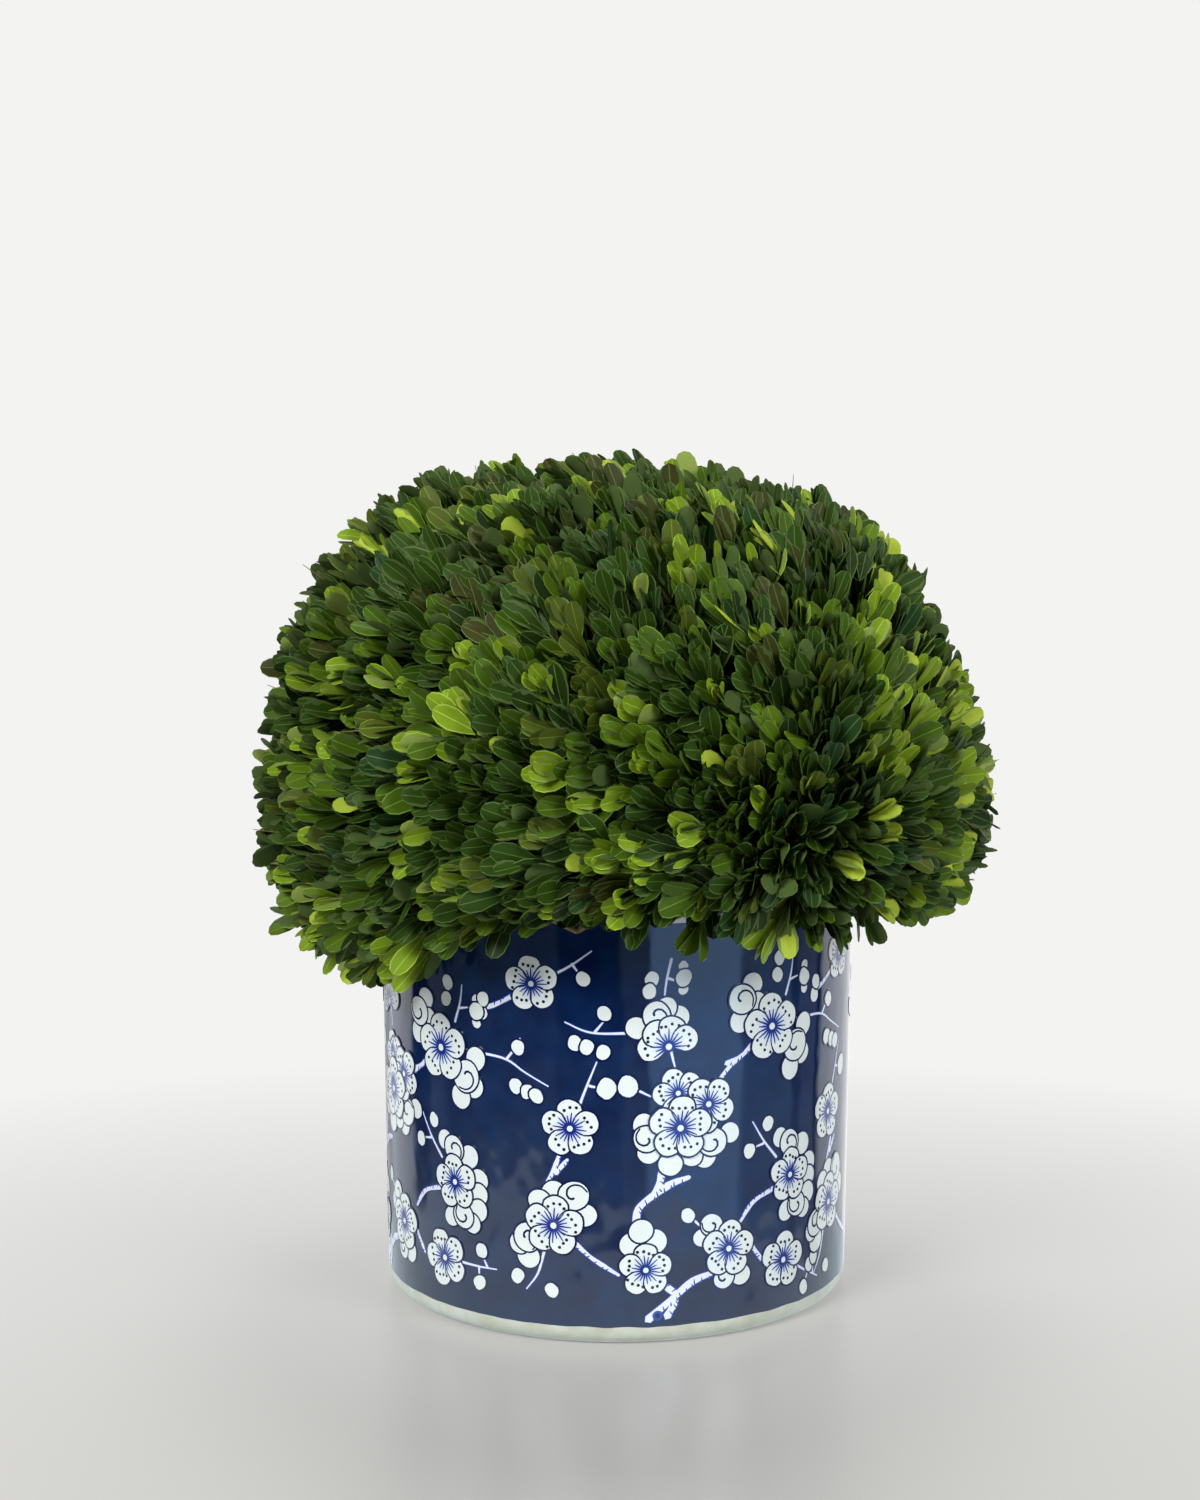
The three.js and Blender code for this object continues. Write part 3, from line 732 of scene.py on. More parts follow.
# %% Sprays
# Each spray: where it is at the front, its three copies (shift round, shift up, turn), and its parts
SPRAYS = {
    "single_high": dict(
        at=(-35, 150),
        copies=((153, 2, 0), (-159, -3, 0), (321, 1, 0)),
        blossoms=((0, 0, 11),),
        branches=(((-7, -5), (-16, -10), (-24, -13)),),
        twigs=(((7, 3), (16, 8), (25, 14.5)), ((17, 9), (20, 5))),
        buds=((21.5, 3), (-23, -14), (-22, -8.5)),
    ),
    "cluster_high": dict(
        at=(68, 129),
        copies=((-148, -11, 0), (160, -4, 0), (319, 2, 0)),
        blossoms=((0, 0, 13.5),),
        branches=(((-27, -22), (-20, -14), (-9, -7)), ((-22, -13), (-14, -10), (-7, -3))),
        twigs=(
            ((13, 1), (32, 0), (42, -5), (52, -10)),
            ((8, 12), (11, 21), (12, 28)),
            ((10, 18), (15, 19)),
            ((34, 0), (38, 5), (40, 9)),
        ),
        scales=((-16, 4, 4.8), (-10, 19, 4.8), (-8, 10, 5.2), (18, -14, 4.8), (11, -19, 5.2), (19, -2, 5)),
        curls=((-15, 13, 6.3), (14, -10, 6.8)),
        buds=((4, 28), (3, 21), (39, 5), (38, -11), (43, -13), (47, -14.5)),
        ovals=((19.5, 18),),
    ),
    "single_middle": dict(
        at=(-19, 91),
        copies=((128, -6, 0), (-160, 2, 0), (316, -2, 0)),
        blossoms=((0, 0, 11.5),),
        twigs=(((4, 10), (7, 18), (11, 28)), ((8, 18), (13, 17))),
        big_buds=((15, 17),),
    ),
    "cluster_low_left": dict(
        at=(-26, 50),
        copies=((137, -5, 0), (-160, 1, 0), (314, 0, 0)),
        blossoms=((0, 0, 12),),
        branches=(((-4, 15), (0, 23), (3, 31)), ((1, 22), (6, 28)), ((9, -7), (16, -13), (27, -20))),
        twigs=(((-4, -11), (-7, -21), (-12, -28)),),
        scales=((0, 14, 5), (-6, 10, 4.8), (13, 5, 5), (-11, -14, 5), (-15, -9, 4.4)),
        curls=((8.5, 13, 6.3), (-11.5, -6, 6)),
        buds=((-16, -23), (-1, -27.5)),
    ),
    "half_open": dict(
        at=(21, 125),
        copies=((-147, 4, 0), (160, -3, 0), (320, 0, 0)),
        half_blossoms=((0, 0, 12.5),),
        twigs=(
            ((-13, 6), (-31, 6), (-42, 10)),
            ((-30, 6), (-26, 11)),
            ((1, 36), (-1, 27), (-2, 18)),
            ((0, 28), (5, 26)),
            ((1, -2), (2, -6), (3, -10)),
        ),
        scales=((-13, 8, 4.6), (4, 12, 4.8), (-1, 16, 4.4)),
        curls=((-5, 13, 5.8),),
        buds=((-26, 14), (-38, 1.5), (-33, 0), (-26.5, -2), (-7, 28), (-8, 23)),
        ovals=((6, 28),),
    ),
    "great_cluster": dict(
        at=(26, 91),
        copies=((-147, 1, 0), (159, 2, 0), (320, -2, 0)),
        back_blossoms=((-1, 14.5, 10.5), (12, 9, 11.5)),
        blossoms=((0, 0, 12.5),),
        twigs=(((-19, 17), (-11, 13)),),
        scales=(
            *((-15, 2, 4.6), (-13, -10, 4.6), (11, -13, 4.8)),
            *((22, -4, 4.4), (5, -12, 4.6), (-4, -15, 5)),
        ),
        curls=((-14, -4, 5.4), (14, -7, 6.2)),
        big_buds=((-21.5, 18),),
    ),
    "cluster_right": dict(
        at=(80, 64),
        copies=((-153, -2, 0), (158, 3, 0), (318, -1, 0)),
        blossoms=((0, 0, 11),),
        branches=(((-9, -4), (-20, -8), (-27, -16)),),
        twigs=(((-8, 9), (-15, 17), (-21, 26)), ((-15, 16), (-20, 15))),
        scales=(
            *((-6, 17, 4.2), (8, 12, 4.8), (13, 3, 4.6), (13, -3, 4.4)),
            *((12.5, -10, 4.6), (-2, -15, 4.4), (9, -16, 4.4)),
        ),
        curls=((-0.5, 14, 5.6), (4.5, -13.5, 5.4)),
        buds=((-13, 24), (-22.5, 14)),
    ),
    "cluster_low": dict(
        at=(48, 38),
        copies=((-160, -2, 0), (160, 2, 0), (321, 1, 0)),
        blossoms=((0, 0, 11.5),),
        branches=(((11, 0), (14, -4), (18, -9)),),
        twigs=(((-17, 15), (-11, 9)),),
        scales=((-12, 6, 4), (6, -12, 4.6)),
        curls=((-8, 11, 4.8), (-2, -12, 4.8)),
        buds=((-18.5, 16),),
    ),
    "single_low": dict(
        at=(77, 28),
        copies=((-157, 0, 28), (159, 1, 4), (318, -1, -6)),
        blossoms=((0, 0, 11.7),),
        twigs=(((8, -4), (17, -9), (25, -13)), ((17, -9), (15, -13)), ((21, -11), (21, -5))),
        buds=((14, -15), (21.5, -3.5)),
    ),
    "foot_of_the_tree": dict(
        at=(12, 32),
        copies=((-158, -1, 0), (159, 2, 0), (320, 0, 0)),
        boughs=(
            ((1, -21), (12, -12), (20, -6), (30, -3)),
            ((9, -20), (13, -13)),
            ((-4, 19), (-3, 26), (4, 32), (11, 36), (18, 38)),
            ((4, 32), (6, 38), (7, 45)),
            ((13, -11), (8, -7)),
        ),
        blossoms=((0, 0, 10.5),),
        scales=((-6, 11, 5), (4, 12, 5), (-2, 16.5, 5)),
        rings=((5, -19.5),),
    ),
}
NO_SHIFT = (0, 0, 0)
OVAL_ENDS = (-4.8, 4.8)
OVAL_END_SIZE = 2.0
BUD_SIZES = {"ovals": 3.2, "buds": 2.8, "big_buds": 3.9}
RING_RADII = (("blue", 2.2, 14), ("navy", 1.1, 10))
print("sprays:", len(SPRAYS), "each laid 4 times")


# %% Paint every spray
def paint_spray(spray, shift, up, turn):
    middle = Vector(spray["at"]) + Vector((shift, up))
    at = lambda x, y: middle + turned(x, y, math.radians(turn))
    parts = defaultdict(tuple, spray)
    for line in parts["twigs"]:
        twig_stroke([at(*p) for p in line], 1)
    for kind, wide in (("branches", BRANCH_WIDTH), ("boughs", BOUGH_WIDTH)):
        for line in parts[kind]:
            branch_stroke([at(*p) for p in line], 1, wide)
    level = 4
    buds = [(x, y + side, OVAL_END_SIZE) for x, y in parts["ovals"] for side in OVAL_ENDS]
    for kind, size in BUD_SIZES.items():
        buds += [(x, y, size) for x, y in parts[kind]]
    for x, y, size in buds:
        bud(at(x, y), size, level)
        level += 2
    for x, y in parts["rings"]:
        for number, (colour, radius, points) in enumerate(RING_RADII):
            dab(colour, at(x, y), round_shape(at(x, y), radius, radius, 0, points), 4 + number)
    level += 1
    for x, y, size in parts["scales"]:
        scale_petal(at(x, y), size, level, False)
        level += 2
    for x, y, size in parts["curls"]:
        scale_petal(at(x, y), size, level, True)
        level += 3
    for x, y, reach in parts["back_blossoms"]:
        level += blossom(at(x, y), reach, level, roll=20 + x)
    for x, y, reach in parts["half_blossoms"]:
        blossom(at(x, y), reach, level, HALF_OPEN_PETALS)
    for x, y, reach in parts["blossoms"]:
        blossom(at(x, y), reach * 1.04, level, roll=turn + 7 * math.sin(middle.x + middle.y))


for spray in SPRAYS.values():
    for shift, up, turn in (NO_SHIFT, *spray["copies"]):
        paint_spray(spray, shift, up, turn)
print({colour: len(touches[1]) for colour, touches in paint.items()})

# %% [markdown]
# ### Colours of the painting
# The cobalt pigment is thick in the outlines and thin in the wash at each blossom's heart. A value stored
# on each corner of the cream touches says how near the heart is, and the finish mixes blue in by it.

# %% Paint finishes
PAINT_COLOURS = {
    "navy": ("navy_outline_under_glaze", "#081245"),
    "cream": ("bare_porcelain_petals", "#dbe5e4"),
    "dots": ("dark_pollen_dots", "#111c38"),
    "stamens": ("fine_blue_stamens", "#10277c"),
    "blue": ("blue_branch_lines", "#2440a0"),
    "pale": ("pale_branch_wash", "#dce2ef"),
}
for colour, (finish_name, shade) in PAINT_COLOURS.items():
    touches, touch_faces, washes = paint[colour]
    material = glaze(finish_name, shade)
    mesh = make_mesh(f"painted_{colour}", touches, touch_faces, [material], sharp=SHARP_ANGLE)
    if colour == "cream":
        store_values(mesh, "wash", "FLOAT", washes)
        wash = output_of(material.node_tree, "ShaderNodeAttribute", output="Fac", attribute_name="wash")
        mix_colours(material, wash, [(0.0, shade), (0.3, "#ccd7ea"), (1.0, "#4f74c8")])
    belongs(make_piece(f"painted_{colour}", mesh), "glaze")

# %% [markdown]
# ## Foam
# Dry florist's foam fills the pot to just below its rim and holds the stem. It hardly shows. Its top is
# pressed and crumbly, so a disc of rings is lifted a little by noise.

# %% Foam plug
FOAM_LOW, FOAM_HIGH = (corner.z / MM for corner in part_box("foam_plug"))
FOAM_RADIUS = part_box("foam_plug")[1].x / MM - 0.2
FOAM_CRUMB = 0.9
FOAM_CRUMB_LENGTH = 7
FOAM_SIDES = 72
FOAM_COLOURS = [(0.3, "#5a4b38"), (0.7, "#7d6c53")]
dry_foam = grained("dry_florist_foam", "#6d5c45", 0.95, 1.4, FOAM_COLOURS, depth=0.5, detail=5.0)
foam_profile = [
    (0, FOAM_LOW),
    (FOAM_RADIUS - 3, FOAM_LOW),
    (FOAM_RADIUS, FOAM_HIGH - 2),
    (FOAM_RADIUS - 1.5, FOAM_HIGH - 0.8),
    *((radius, FOAM_HIGH - 1) for radius in range(90, -1, -6)),
]
foam_points, foam_faces = sweep_round(foam_profile, FOAM_SIDES)
for i, point in enumerate(foam_points):
    if point[2] > FOAM_HIGH - 1.5:
        foam_points[i] = uneven(*point, FOAM_CRUMB, FOAM_CRUMB_LENGTH)
foam_mesh = make_mesh("foam_filling", foam_points, foam_faces, [dry_foam], sharp=SHARP_ANGLE)
belongs(make_piece("foam_filling", foam_mesh), "foam", "foam_plug")

# %% [markdown]
# ## The crown's rule
# The dome is clipped, so every shoot ends on one smooth outline: a rounded, slightly square dome with a
# skirt that hangs over the pot's rim. Eight boughs carry eight wedges of the dome and the leader carries
# its cap. From each bough's tip a stem runs into its mass, twigs part from it to forks, and each fork
# carries finer shoots. These are the rule and the sizes of the solid model, carried on to finer shoots.

# %% Crown sizes and outline
CROWN_RADIUS = 159
CROWN_MIDDLE = 225
CROWN_ABOVE = 134
CROWN_BELOW = 120
SQUARENESS = 2.3
SKIRT = 146
SKIRT_LIFT_RIGHT = 9
SKIRT_LIFT_FRONT = 6
SKIRT_ALONG_OUTLINE = 1.6
ROWS = 8
FIRST_ROW = 0.03
LAST_ROW = 0.93
SIDE_MASSES = 8
CAP_APEX = 185
CAP_HALF_ANGLE = math.radians(29)
OUTLINE_STEPS = 400
SWELL_SHARPNESS = 24


def outline_at(angle):
    power = 2 / SQUARENESS
    reach = max(math.cos(angle), 0) ** power
    rise = abs(math.sin(angle)) ** power
    return CROWN_RADIUS * reach, CROWN_MIDDLE + (CROWN_ABOVE * rise if angle > 0 else -CROWN_BELOW * rise)


lowest_angle = -math.asin(((CROWN_MIDDLE - SKIRT) / CROWN_BELOW) ** (SQUARENESS / 2))
outline_angles = [mix(lowest_angle, math.pi / 2, k / OUTLINE_STEPS) for k in range(OUTLINE_STEPS + 1)]
outline_points = [Vector(outline_at(angle)) for angle in outline_angles]
outline_runs = [0.0]
for before, after in zip(outline_points, outline_points[1:]):
    outline_runs.append(outline_runs[-1] + (after - before).length)


def outline_point(share):
    """The outline's (radius, height) at a share of its length, from the skirt's edge to the top."""
    run = clamp(share) * outline_runs[-1]
    k = bisect_left(outline_runs, run, 1, OUTLINE_STEPS)
    part = (run - outline_runs[k - 1]) / (outline_runs[k] - outline_runs[k - 1])
    return outline_points[k - 1].lerp(outline_points[k], part)


def row_point(share, turn):
    """The same at a turn about the axis. The skirt hangs low at the left and high at the front right."""
    lift = max(0.0, SKIRT_LIFT_RIGHT * (1 + math.cos(turn)) - SKIRT_LIFT_FRONT * math.sin(turn))
    start = SKIRT_ALONG_OUTLINE * lift / outline_runs[-1]
    return outline_point(mix(start, 1, share))


def in_crown(point):
    """A point's distance from the axis, its height over the dome's middle, and the dome's own there."""
    rise = point.z - CROWN_MIDDLE
    return math.hypot(point.x, point.y), rise, CROWN_ABOVE if rise > 0 else CROWN_BELOW


def beyond_outline(point):
    """How far a point stands out of the clipped outline; less than nothing inside it."""
    radius, rise, tall = in_crown(point)
    size = ((radius / CROWN_RADIUS) ** SQUARENESS + (abs(rise) / tall) ** SQUARENESS) ** (1 / SQUARENESS)
    return (1 - 1 / max(size, 0.01)) * math.hypot(radius, rise)


# Where the shears left more than the plain dome, or less: (direction from its middle, millimetres)
SWELLS = (
    ((0.68, 0, 0.74), 6),
    ((-0.62, 0, 0.78), 9),
    ((0.9, 0, 0.42), -5),
    ((0.97, 0, -0.22), 6),
    ((-1, 0, 0.1), -5),
    ((-0.9, 0, -0.43), 10),
)


def swell_at(point):
    direction = (point - Vector((0, 0, CROWN_MIDDLE))).normalized()
    near = lambda way: max(direction.dot(Vector(way).normalized()), 0) ** SWELL_SHARPNESS
    return sum(size * near(way) for way, size in SWELLS)


print("outline:", round(outline_runs[-1]), "mm from skirt to top")

# %% Stem and boughs, as lines
GAP = 0.3
STEM_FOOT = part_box("stem")[0].z / MM
STEM_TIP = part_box("stem")[1].z / MM
STEM_RADIUS = 8
STEM_TIP_RADIUS = 6.5
FLARE_FALL = 9
STEM_LEAN = 3
BOUGH_HEIGHTS = (188, 203)
BOUGH_REACH = 36
BOUGH_RISE = 13
TOP_BOUGH_LENGTH = 24
MASS_STEM = 22


def stem_middle(height):
    rise = (height - STEM_FOOT) / (STEM_TIP - STEM_FOOT)
    return Vector((STEM_LEAN * rise * rise, 0.5 * STEM_LEAN * rise, height))


def stem_radius(height):
    rise = (height - STEM_FOOT) / (STEM_TIP - STEM_FOOT)
    return mix(STEM_RADIUS, STEM_TIP_RADIUS, rise) + STEM_RADIUS * math.exp(-FLARE_FALL * rise)


def bough_line(index):
    turn = (index + 0.5) * 2 * math.pi / SIDE_MASSES
    foot = stem_middle(BOUGH_HEIGHTS[index % 2])
    tip = round_at(turn, BOUGH_REACH, 0)
    line = []
    for run in (0, 0.4, 0.7, 1):
        place = foot.lerp(tip, run)
        line.append(Vector((place.x, place.y, foot.z + run * run * BOUGH_RISE)))
    return line


print("first bough's tip:", [round(v, 1) for v in bough_line(0)[-1]], "solid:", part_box("bough_1")[1] / MM)

# %% [markdown]
# ## Shoots and leaves
# A preserved dome is made of bundled sprigs that fan out from a place close under the surface at the front
# right. There they come straight at the eye, as rosettes. Away from it they lie over one another like
# shingles: their tips point left on the left, up at the top and right at the right. The back has a second
# such place, opposite the first.
# A shoot bears crossed pairs of leaves, the lower ones wider open. A leaf that would stand out of the
# clipped outline is pressed down to it, and one that would cut the pot is left off.

# %% Sprig sizes
RING_STEP = 38  # the solid model's step between twigs, which fork again here
FINE_STEP = 15
ROW_STEP = (LAST_ROW - FIRST_ROW) / (ROWS - 1)
FORK_SCALE = 0.55
SECOND_FORK_SCALE = 0.76
FORK_HEIGHT = 195
# Rows that end lower than this fork at fixed places over the pot's rim: (radius, height)
LOW_ROWS = 190
LOW_FORK = (110, 190)
LOW_SECOND_FORK = (118, 178)
LOW_FORK_STRAY = 5
# Radii along the twigs, from root to tip
STEM_TWIG = [3.4, 2.6]
FORK_TWIG = [2.4, 2.1, 1.8]
FINE_TWIG = [1.7, 1.5, 1.3]
SHOOT_TWIG = [0.9, 0.8, 0.72, 0.64, 0.56, 0.42]
BARE_TWIG = [0.42, 0.14]
FINE_TWIG_STRAY = 1.5
SHOOT_BEND = 30  # a shoot turns into its own direction so far before its end
# How far out the tips of a clump and of one shoot reach, and how they stray along and round the outline
CLUMP_DEPTHS = (0.97, 1.0)
SHOOT_DEPTHS = (0.965, 1.01)
ROW_STRAY = 0.012
TURN_STRAY = 0.3
VIGOUR = (0.86, 1.1)  # the size of all leaves of one shoot, before each leaf's own
HANGING = (195, 165)  # shoots begin to hang at the first height, and hang freely at the second
FRINGE_GAPS = 0.25
FRINGE_STRAY = 3
FRONT_FOCUS = Vector((80, -88, 209))
BACK_FOCUS = Vector((-80, 88, 209))
LEAF_LENGTH = 21.5
# Pairs down the shoot: (below its end, least spread, most spread, size)
LEAF_PAIRS = ((1.0, 7, 19, 0.92), (5.5, 12, 27, 1.02), (11, 18, 34, 1.02), (17.5, 25, 41, 1.0))
END_LEAF = 0.8
LEAF_SIZES = (0.86, 1.08)
FACE_TO_TIP = 0.35  # a leaf's upper face turns to the light, outwards, and so much to the shoot's own tip
FACE_STRAY = 0.2
UPSIDE_DOWN = 0.02
LONGEST_OUT = 6.5  # a leaf's tip may stand so far out of the clipped outline
OUT_STRAY = 0.21
OUT_LEFT_OFF = 2.0  # and is left off where it still stands so much further out
PRESSED = 0.5
CLUMP_STRAY = 0.15
BARE_TWIGS = 0.03
BARE_TWIG_OUT = 4
# Where the fringe is held up or hangs low: (degrees about the axis, millimetres)
FRINGE_LIFTS = ((-118, 7), (-106, 15), (-96, 10), (-87, 6), (-50, -6), (-148, -6))
FRINGE_LIFT_WIDTH = 0.18
SKIRT_WAVE = 9
SKIRT_WAVES = 2.2
POT_CLEAR = 1.5
SEED = 11
grown = {name: {"leaves": [], "wood": []} for name in [*(f"{k + 1}" for k in range(SIDE_MASSES)), "top"]}


def skirt_wave(turn):
    """The fringe hangs in irregular clumps, up and down by several millimetres."""
    wave = SKIRT_WAVE * noise.noise(round_at(turn, SKIRT_WAVES, 4))
    for place, lift in FRINGE_LIFTS:
        away = math.remainder(turn - math.radians(place), 2 * math.pi)
        wave += lift * math.exp(-((away / FRINGE_LIFT_WIDTH) ** 2))
    return wave


def outward_at(point):
    """The direction square to the clipped outline, near a point."""
    radius, rise, tall = in_crown(point)
    steep = math.copysign((abs(rise) / tall) ** (SQUARENESS - 1) / tall, rise)
    flat = (radius / CROWN_RADIUS) ** (SQUARENESS - 1) / CROWN_RADIUS
    return Vector((flat * point.x / max(radius, 1), flat * point.y / max(radius, 1), steep)).normalized()


def square_to(direction, towards):
    return (towards - direction * direction.dot(towards)).normalized()


def stray_vector(chance, amount):
    return Vector([chance.gauss(0, amount) for _ in range(3)])


def clear_of_pot(point):
    return math.hypot(point.x, point.y) > RIM_RADIUS + POT_CLEAR or point.z > POT_HEIGHT + POT_CLEAR


print("masses:", list(grown))

# %% Colour of a spray
# Leaf colours: plain ones, dealt out by spray. The numbers are the places in LEAF_GREENS further down.
MID, DEEP, BLUISH, BROWNED, FRESH, BRIGHT, WARM, OLIVE, OLD_IN_SHADE = range(9)
# Leaves further down a shoot, inside the spray, take darker tints: partly older leaves, partly painted
# shade
OLD_AND_SHADED_LEAF = {FRESH: MID, BRIGHT: FRESH, **{tint: OLD_IN_SHADE for tint in (MID, DEEP, BLUISH, BROWNED, WARM, OLIVE)}}
# In the hollow where the front fan opens, the eye looks down between the sprigs into shade; the leaves
# there take deeper tints as painted shade
SHADED_HOLLOW_TINT = {MID: DEEP, WARM: BLUISH, OLIVE: DEEP, DEEP: OLD_IN_SHADE, FRESH: MID}
HOLLOW = Vector((96, -110, 203))
HOLLOW_REACH = 40
PATCH = 48  # millimetres across a patch of darker sprays
CHANCES = {MID: 24, DEEP: 28, BLUISH: 7, BROWNED: 4, FRESH: 11, BRIGHT: 2, WARM: 18, OLIVE: 8}
FRINGE_TOP = 172
BROWNED_AND_SHADED_TOP = 305
FRESH_AND_LIT_RIGHT = 110
SHADED_RIGHT_FRONT = 40
SHADED_RIGHT_LOW = 250
BROWNED_PLACE = Vector((-20, -70, 335))
BROWNED_REACH = 50
YOUNG_END = 0.22
LIGHT_LEAF = 0.035


def tint_of_spray(tip, chance):
    """Fresh in the fringe and at the right, partly painted light; browned near the top of the front; deeper
    at the top, partly painted shade; deep and bluish low at the front right, painted shade.
    """
    chances = dict(CHANCES)
    if noise.noise(tip / PATCH) < -0.05:
        chances.update({DEEP: 54, BROWNED: 5, FRESH: 5, BRIGHT: 1})
    # The fringe is drawn fresher and brighter: partly young leaves, partly painted light through and up
    # from the table
    if tip.z < FRINGE_TOP:
        chances.update({FRESH: 24, BRIGHT: 6, WARM: 20, DEEP: 20})
    # The top is drawn deeper and browner: partly its real browning, partly painted shade against the light
    # on it
    if tip.z > BROWNED_AND_SHADED_TOP:
        chances.update({DEEP: 54, BROWNED: 14, OLIVE: 8, MID: 12, WARM: 8, FRESH: 6, BRIGHT: 1})
    if (tip - BROWNED_PLACE).length < BROWNED_REACH:
        chances.update({BROWNED: 36, FRESH: 3})
    # The right side is drawn fresher and brighter: partly fresh leaves, partly painted light where the
    # right is lit
    if tip.x > FRESH_AND_LIT_RIGHT and tip.z > FRINGE_TOP:
        chances.update({FRESH: 26, BRIGHT: 16})
    # Low at the front right the sprays are drawn deep and bluish: painted shade
    elif tip.x > SHADED_RIGHT_FRONT and FRINGE_TOP < tip.z < SHADED_RIGHT_LOW:
        chances.update({BLUISH: 18, DEEP: 36})
    return chance.choices(list(chances), list(chances.values()))[0]


def tint_of_leaf(tint, young, pair, chance):
    """The end pair may be young, a leaf here and there is light, and the leaves further in are darker:
    partly old, partly painted shade inside the spray.
    """
    if pair < 2 and chance.random() < LIGHT_LEAF:
        return chance.choice((FRESH, BRIGHT))
    if pair == 0:
        return young
    return OLD_AND_SHADED_LEAF[tint] if pair > 1 else tint


print("chances of the leaf colours:", CHANCES)

# %% Grow one shoot
BACKWARDS = Vector((-0.67, 0.74, 0))  # from the front fan to the back one
FANS_MEET = (10, 120)  # millimetres behind the axis, where one fan gives way to the other


def place_leaf(mass, root, along, axis, size, tint, chance):
    length = LEAF_LENGTH * size
    outward = outward_at(root)
    limit = LONGEST_OUT - chance.expovariate(OUT_STRAY) + swell_at(root)
    for _ in range(3):
        excess = beyond_outline(root + along * length) - limit
        if excess > 0:
            along = (along - outward * excess / length).normalized()
    tip = root + along * length
    if beyond_outline(tip) > limit + OUT_LEFT_OFF:
        return
    if not (clear_of_pot(tip) and clear_of_pot(root.lerp(tip, 0.5))):
        return
    above = square_to(along, outward.lerp(axis, FACE_TO_TIP) + stray_vector(chance, FACE_STRAY))
    if chance.random() < UPSIDE_DOWN:
        above = -above
    # Painted shade in the front hollow: a deeper tint
    if (tip - HOLLOW).length < HOLLOW_REACH:
        tint = SHADED_HOLLOW_TINT.get(tint, tint)
    angles = Matrix((along.cross(above), along, above)).transposed().to_euler()
    mass["leaves"].append((root, angles, size, tint))


def fan_from(tip):
    """The direction of the sprigs at a place, away from the nearer of the two middles of the fans."""
    first, last = FANS_MEET
    share = clamp((tip.dot(BACKWARDS) - first) / (last - first))
    return (tip - FRONT_FOCUS.lerp(BACK_FOCUS, share)).normalized()


def grow_shoot(mass, tip, fork, lean, chance):
    outward = outward_at(tip)
    tip = tip + outward * swell_at(tip)
    along = (fan_from(tip).lerp(outward, 0.1) + lean + stray_vector(chance, 0.08)).normalized()
    tint = tint_of_spray(tip, chance)
    vigour = chance.uniform(*VIGOUR)
    end = tip - along * LEAF_LENGTH * END_LEAF * vigour
    bend = end - along * SHOOT_BEND
    path = [fork.lerp(bend, t).lerp(bend.lerp(end, t), t) for t in (0, 0.3, 0.55, 0.75, 0.9, 1)]
    if not all(clear_of_pot(point) for point in path[2:]):
        return
    mass["wood"].append((path, SHOOT_TWIG))
    if chance.random() < BARE_TWIGS:
        bare_tip = tip + along * BARE_TWIG_OUT + outward * BARE_TWIG_OUT
        mass["wood"].append(([end, bare_tip], BARE_TWIG))
    side = square_to(along, stray_vector(chance, 1.0))
    over = along.cross(side)
    young = FRESH if tint in (MID, WARM) and chance.random() < YOUNG_END else tint
    top_along = (along + stray_vector(chance, 0.1)).normalized()
    place_leaf(mass, end, top_along, along, END_LEAF * vigour, young, chance)
    for number, (below, least, most, size) in enumerate(LEAF_PAIRS):
        node = end - along * below
        pair_side = side if number % 2 else over
        for sign in (1, -1):
            spread = math.radians(chance.uniform(least, most))
            aim = along * math.cos(spread) + pair_side * sign * math.sin(spread)
            # Clipping and packing press the leaves of a spray flat along the dome
            aim -= outward * PRESSED * (aim - along * math.cos(spread)).dot(outward)
            aim = (aim + stray_vector(chance, 0.06)).normalized()
            one_size = size * vigour * chance.uniform(*LEAF_SIZES)
            place_leaf(mass, node, aim, along, one_size, tint_of_leaf(tint, young, number, chance), chance)


print("a shoot bears", 1 + 2 * len(LEAF_PAIRS), "leaves")


# %% Grow one mass
def grow_clump(mass, fork, share, turn_at, width, chance):
    """The shoots of one fork make a clump, with a lean and a depth of its own."""
    lean = stray_vector(chance, CLUMP_STRAY)
    clump_pull = chance.uniform(*CLUMP_DEPTHS)
    first_hangs, last_hangs = HANGING
    for third in (-1, 0, 1):
        fine_share = share + third * ROW_STEP / 3
        steps = max(1, round(outline_point(fine_share)[0] * width / FINE_STEP))
        for k in range(steps):
            turn = turn_at((k + 0.5 + chance.uniform(-TURN_STRAY, TURN_STRAY)) / steps)
            stray_share = fine_share + chance.uniform(-ROW_STRAY, ROW_STRAY)
            radius, height = row_point(max(stray_share, 0.0), turn)
            pull = clump_pull * chance.uniform(*SHOOT_DEPTHS)
            tip = round_at(turn, radius * pull, mix(FORK_HEIGHT, height, pull))
            hanging = clamp((first_hangs - tip.z) / (first_hangs - last_hangs))
            if chance.random() < FRINGE_GAPS * hanging:
                continue
            tip.z += hanging * (skirt_wave(turn) + chance.gauss(0, FRINGE_STRAY))
            grow_shoot(mass, tip, fork, lean, chance)


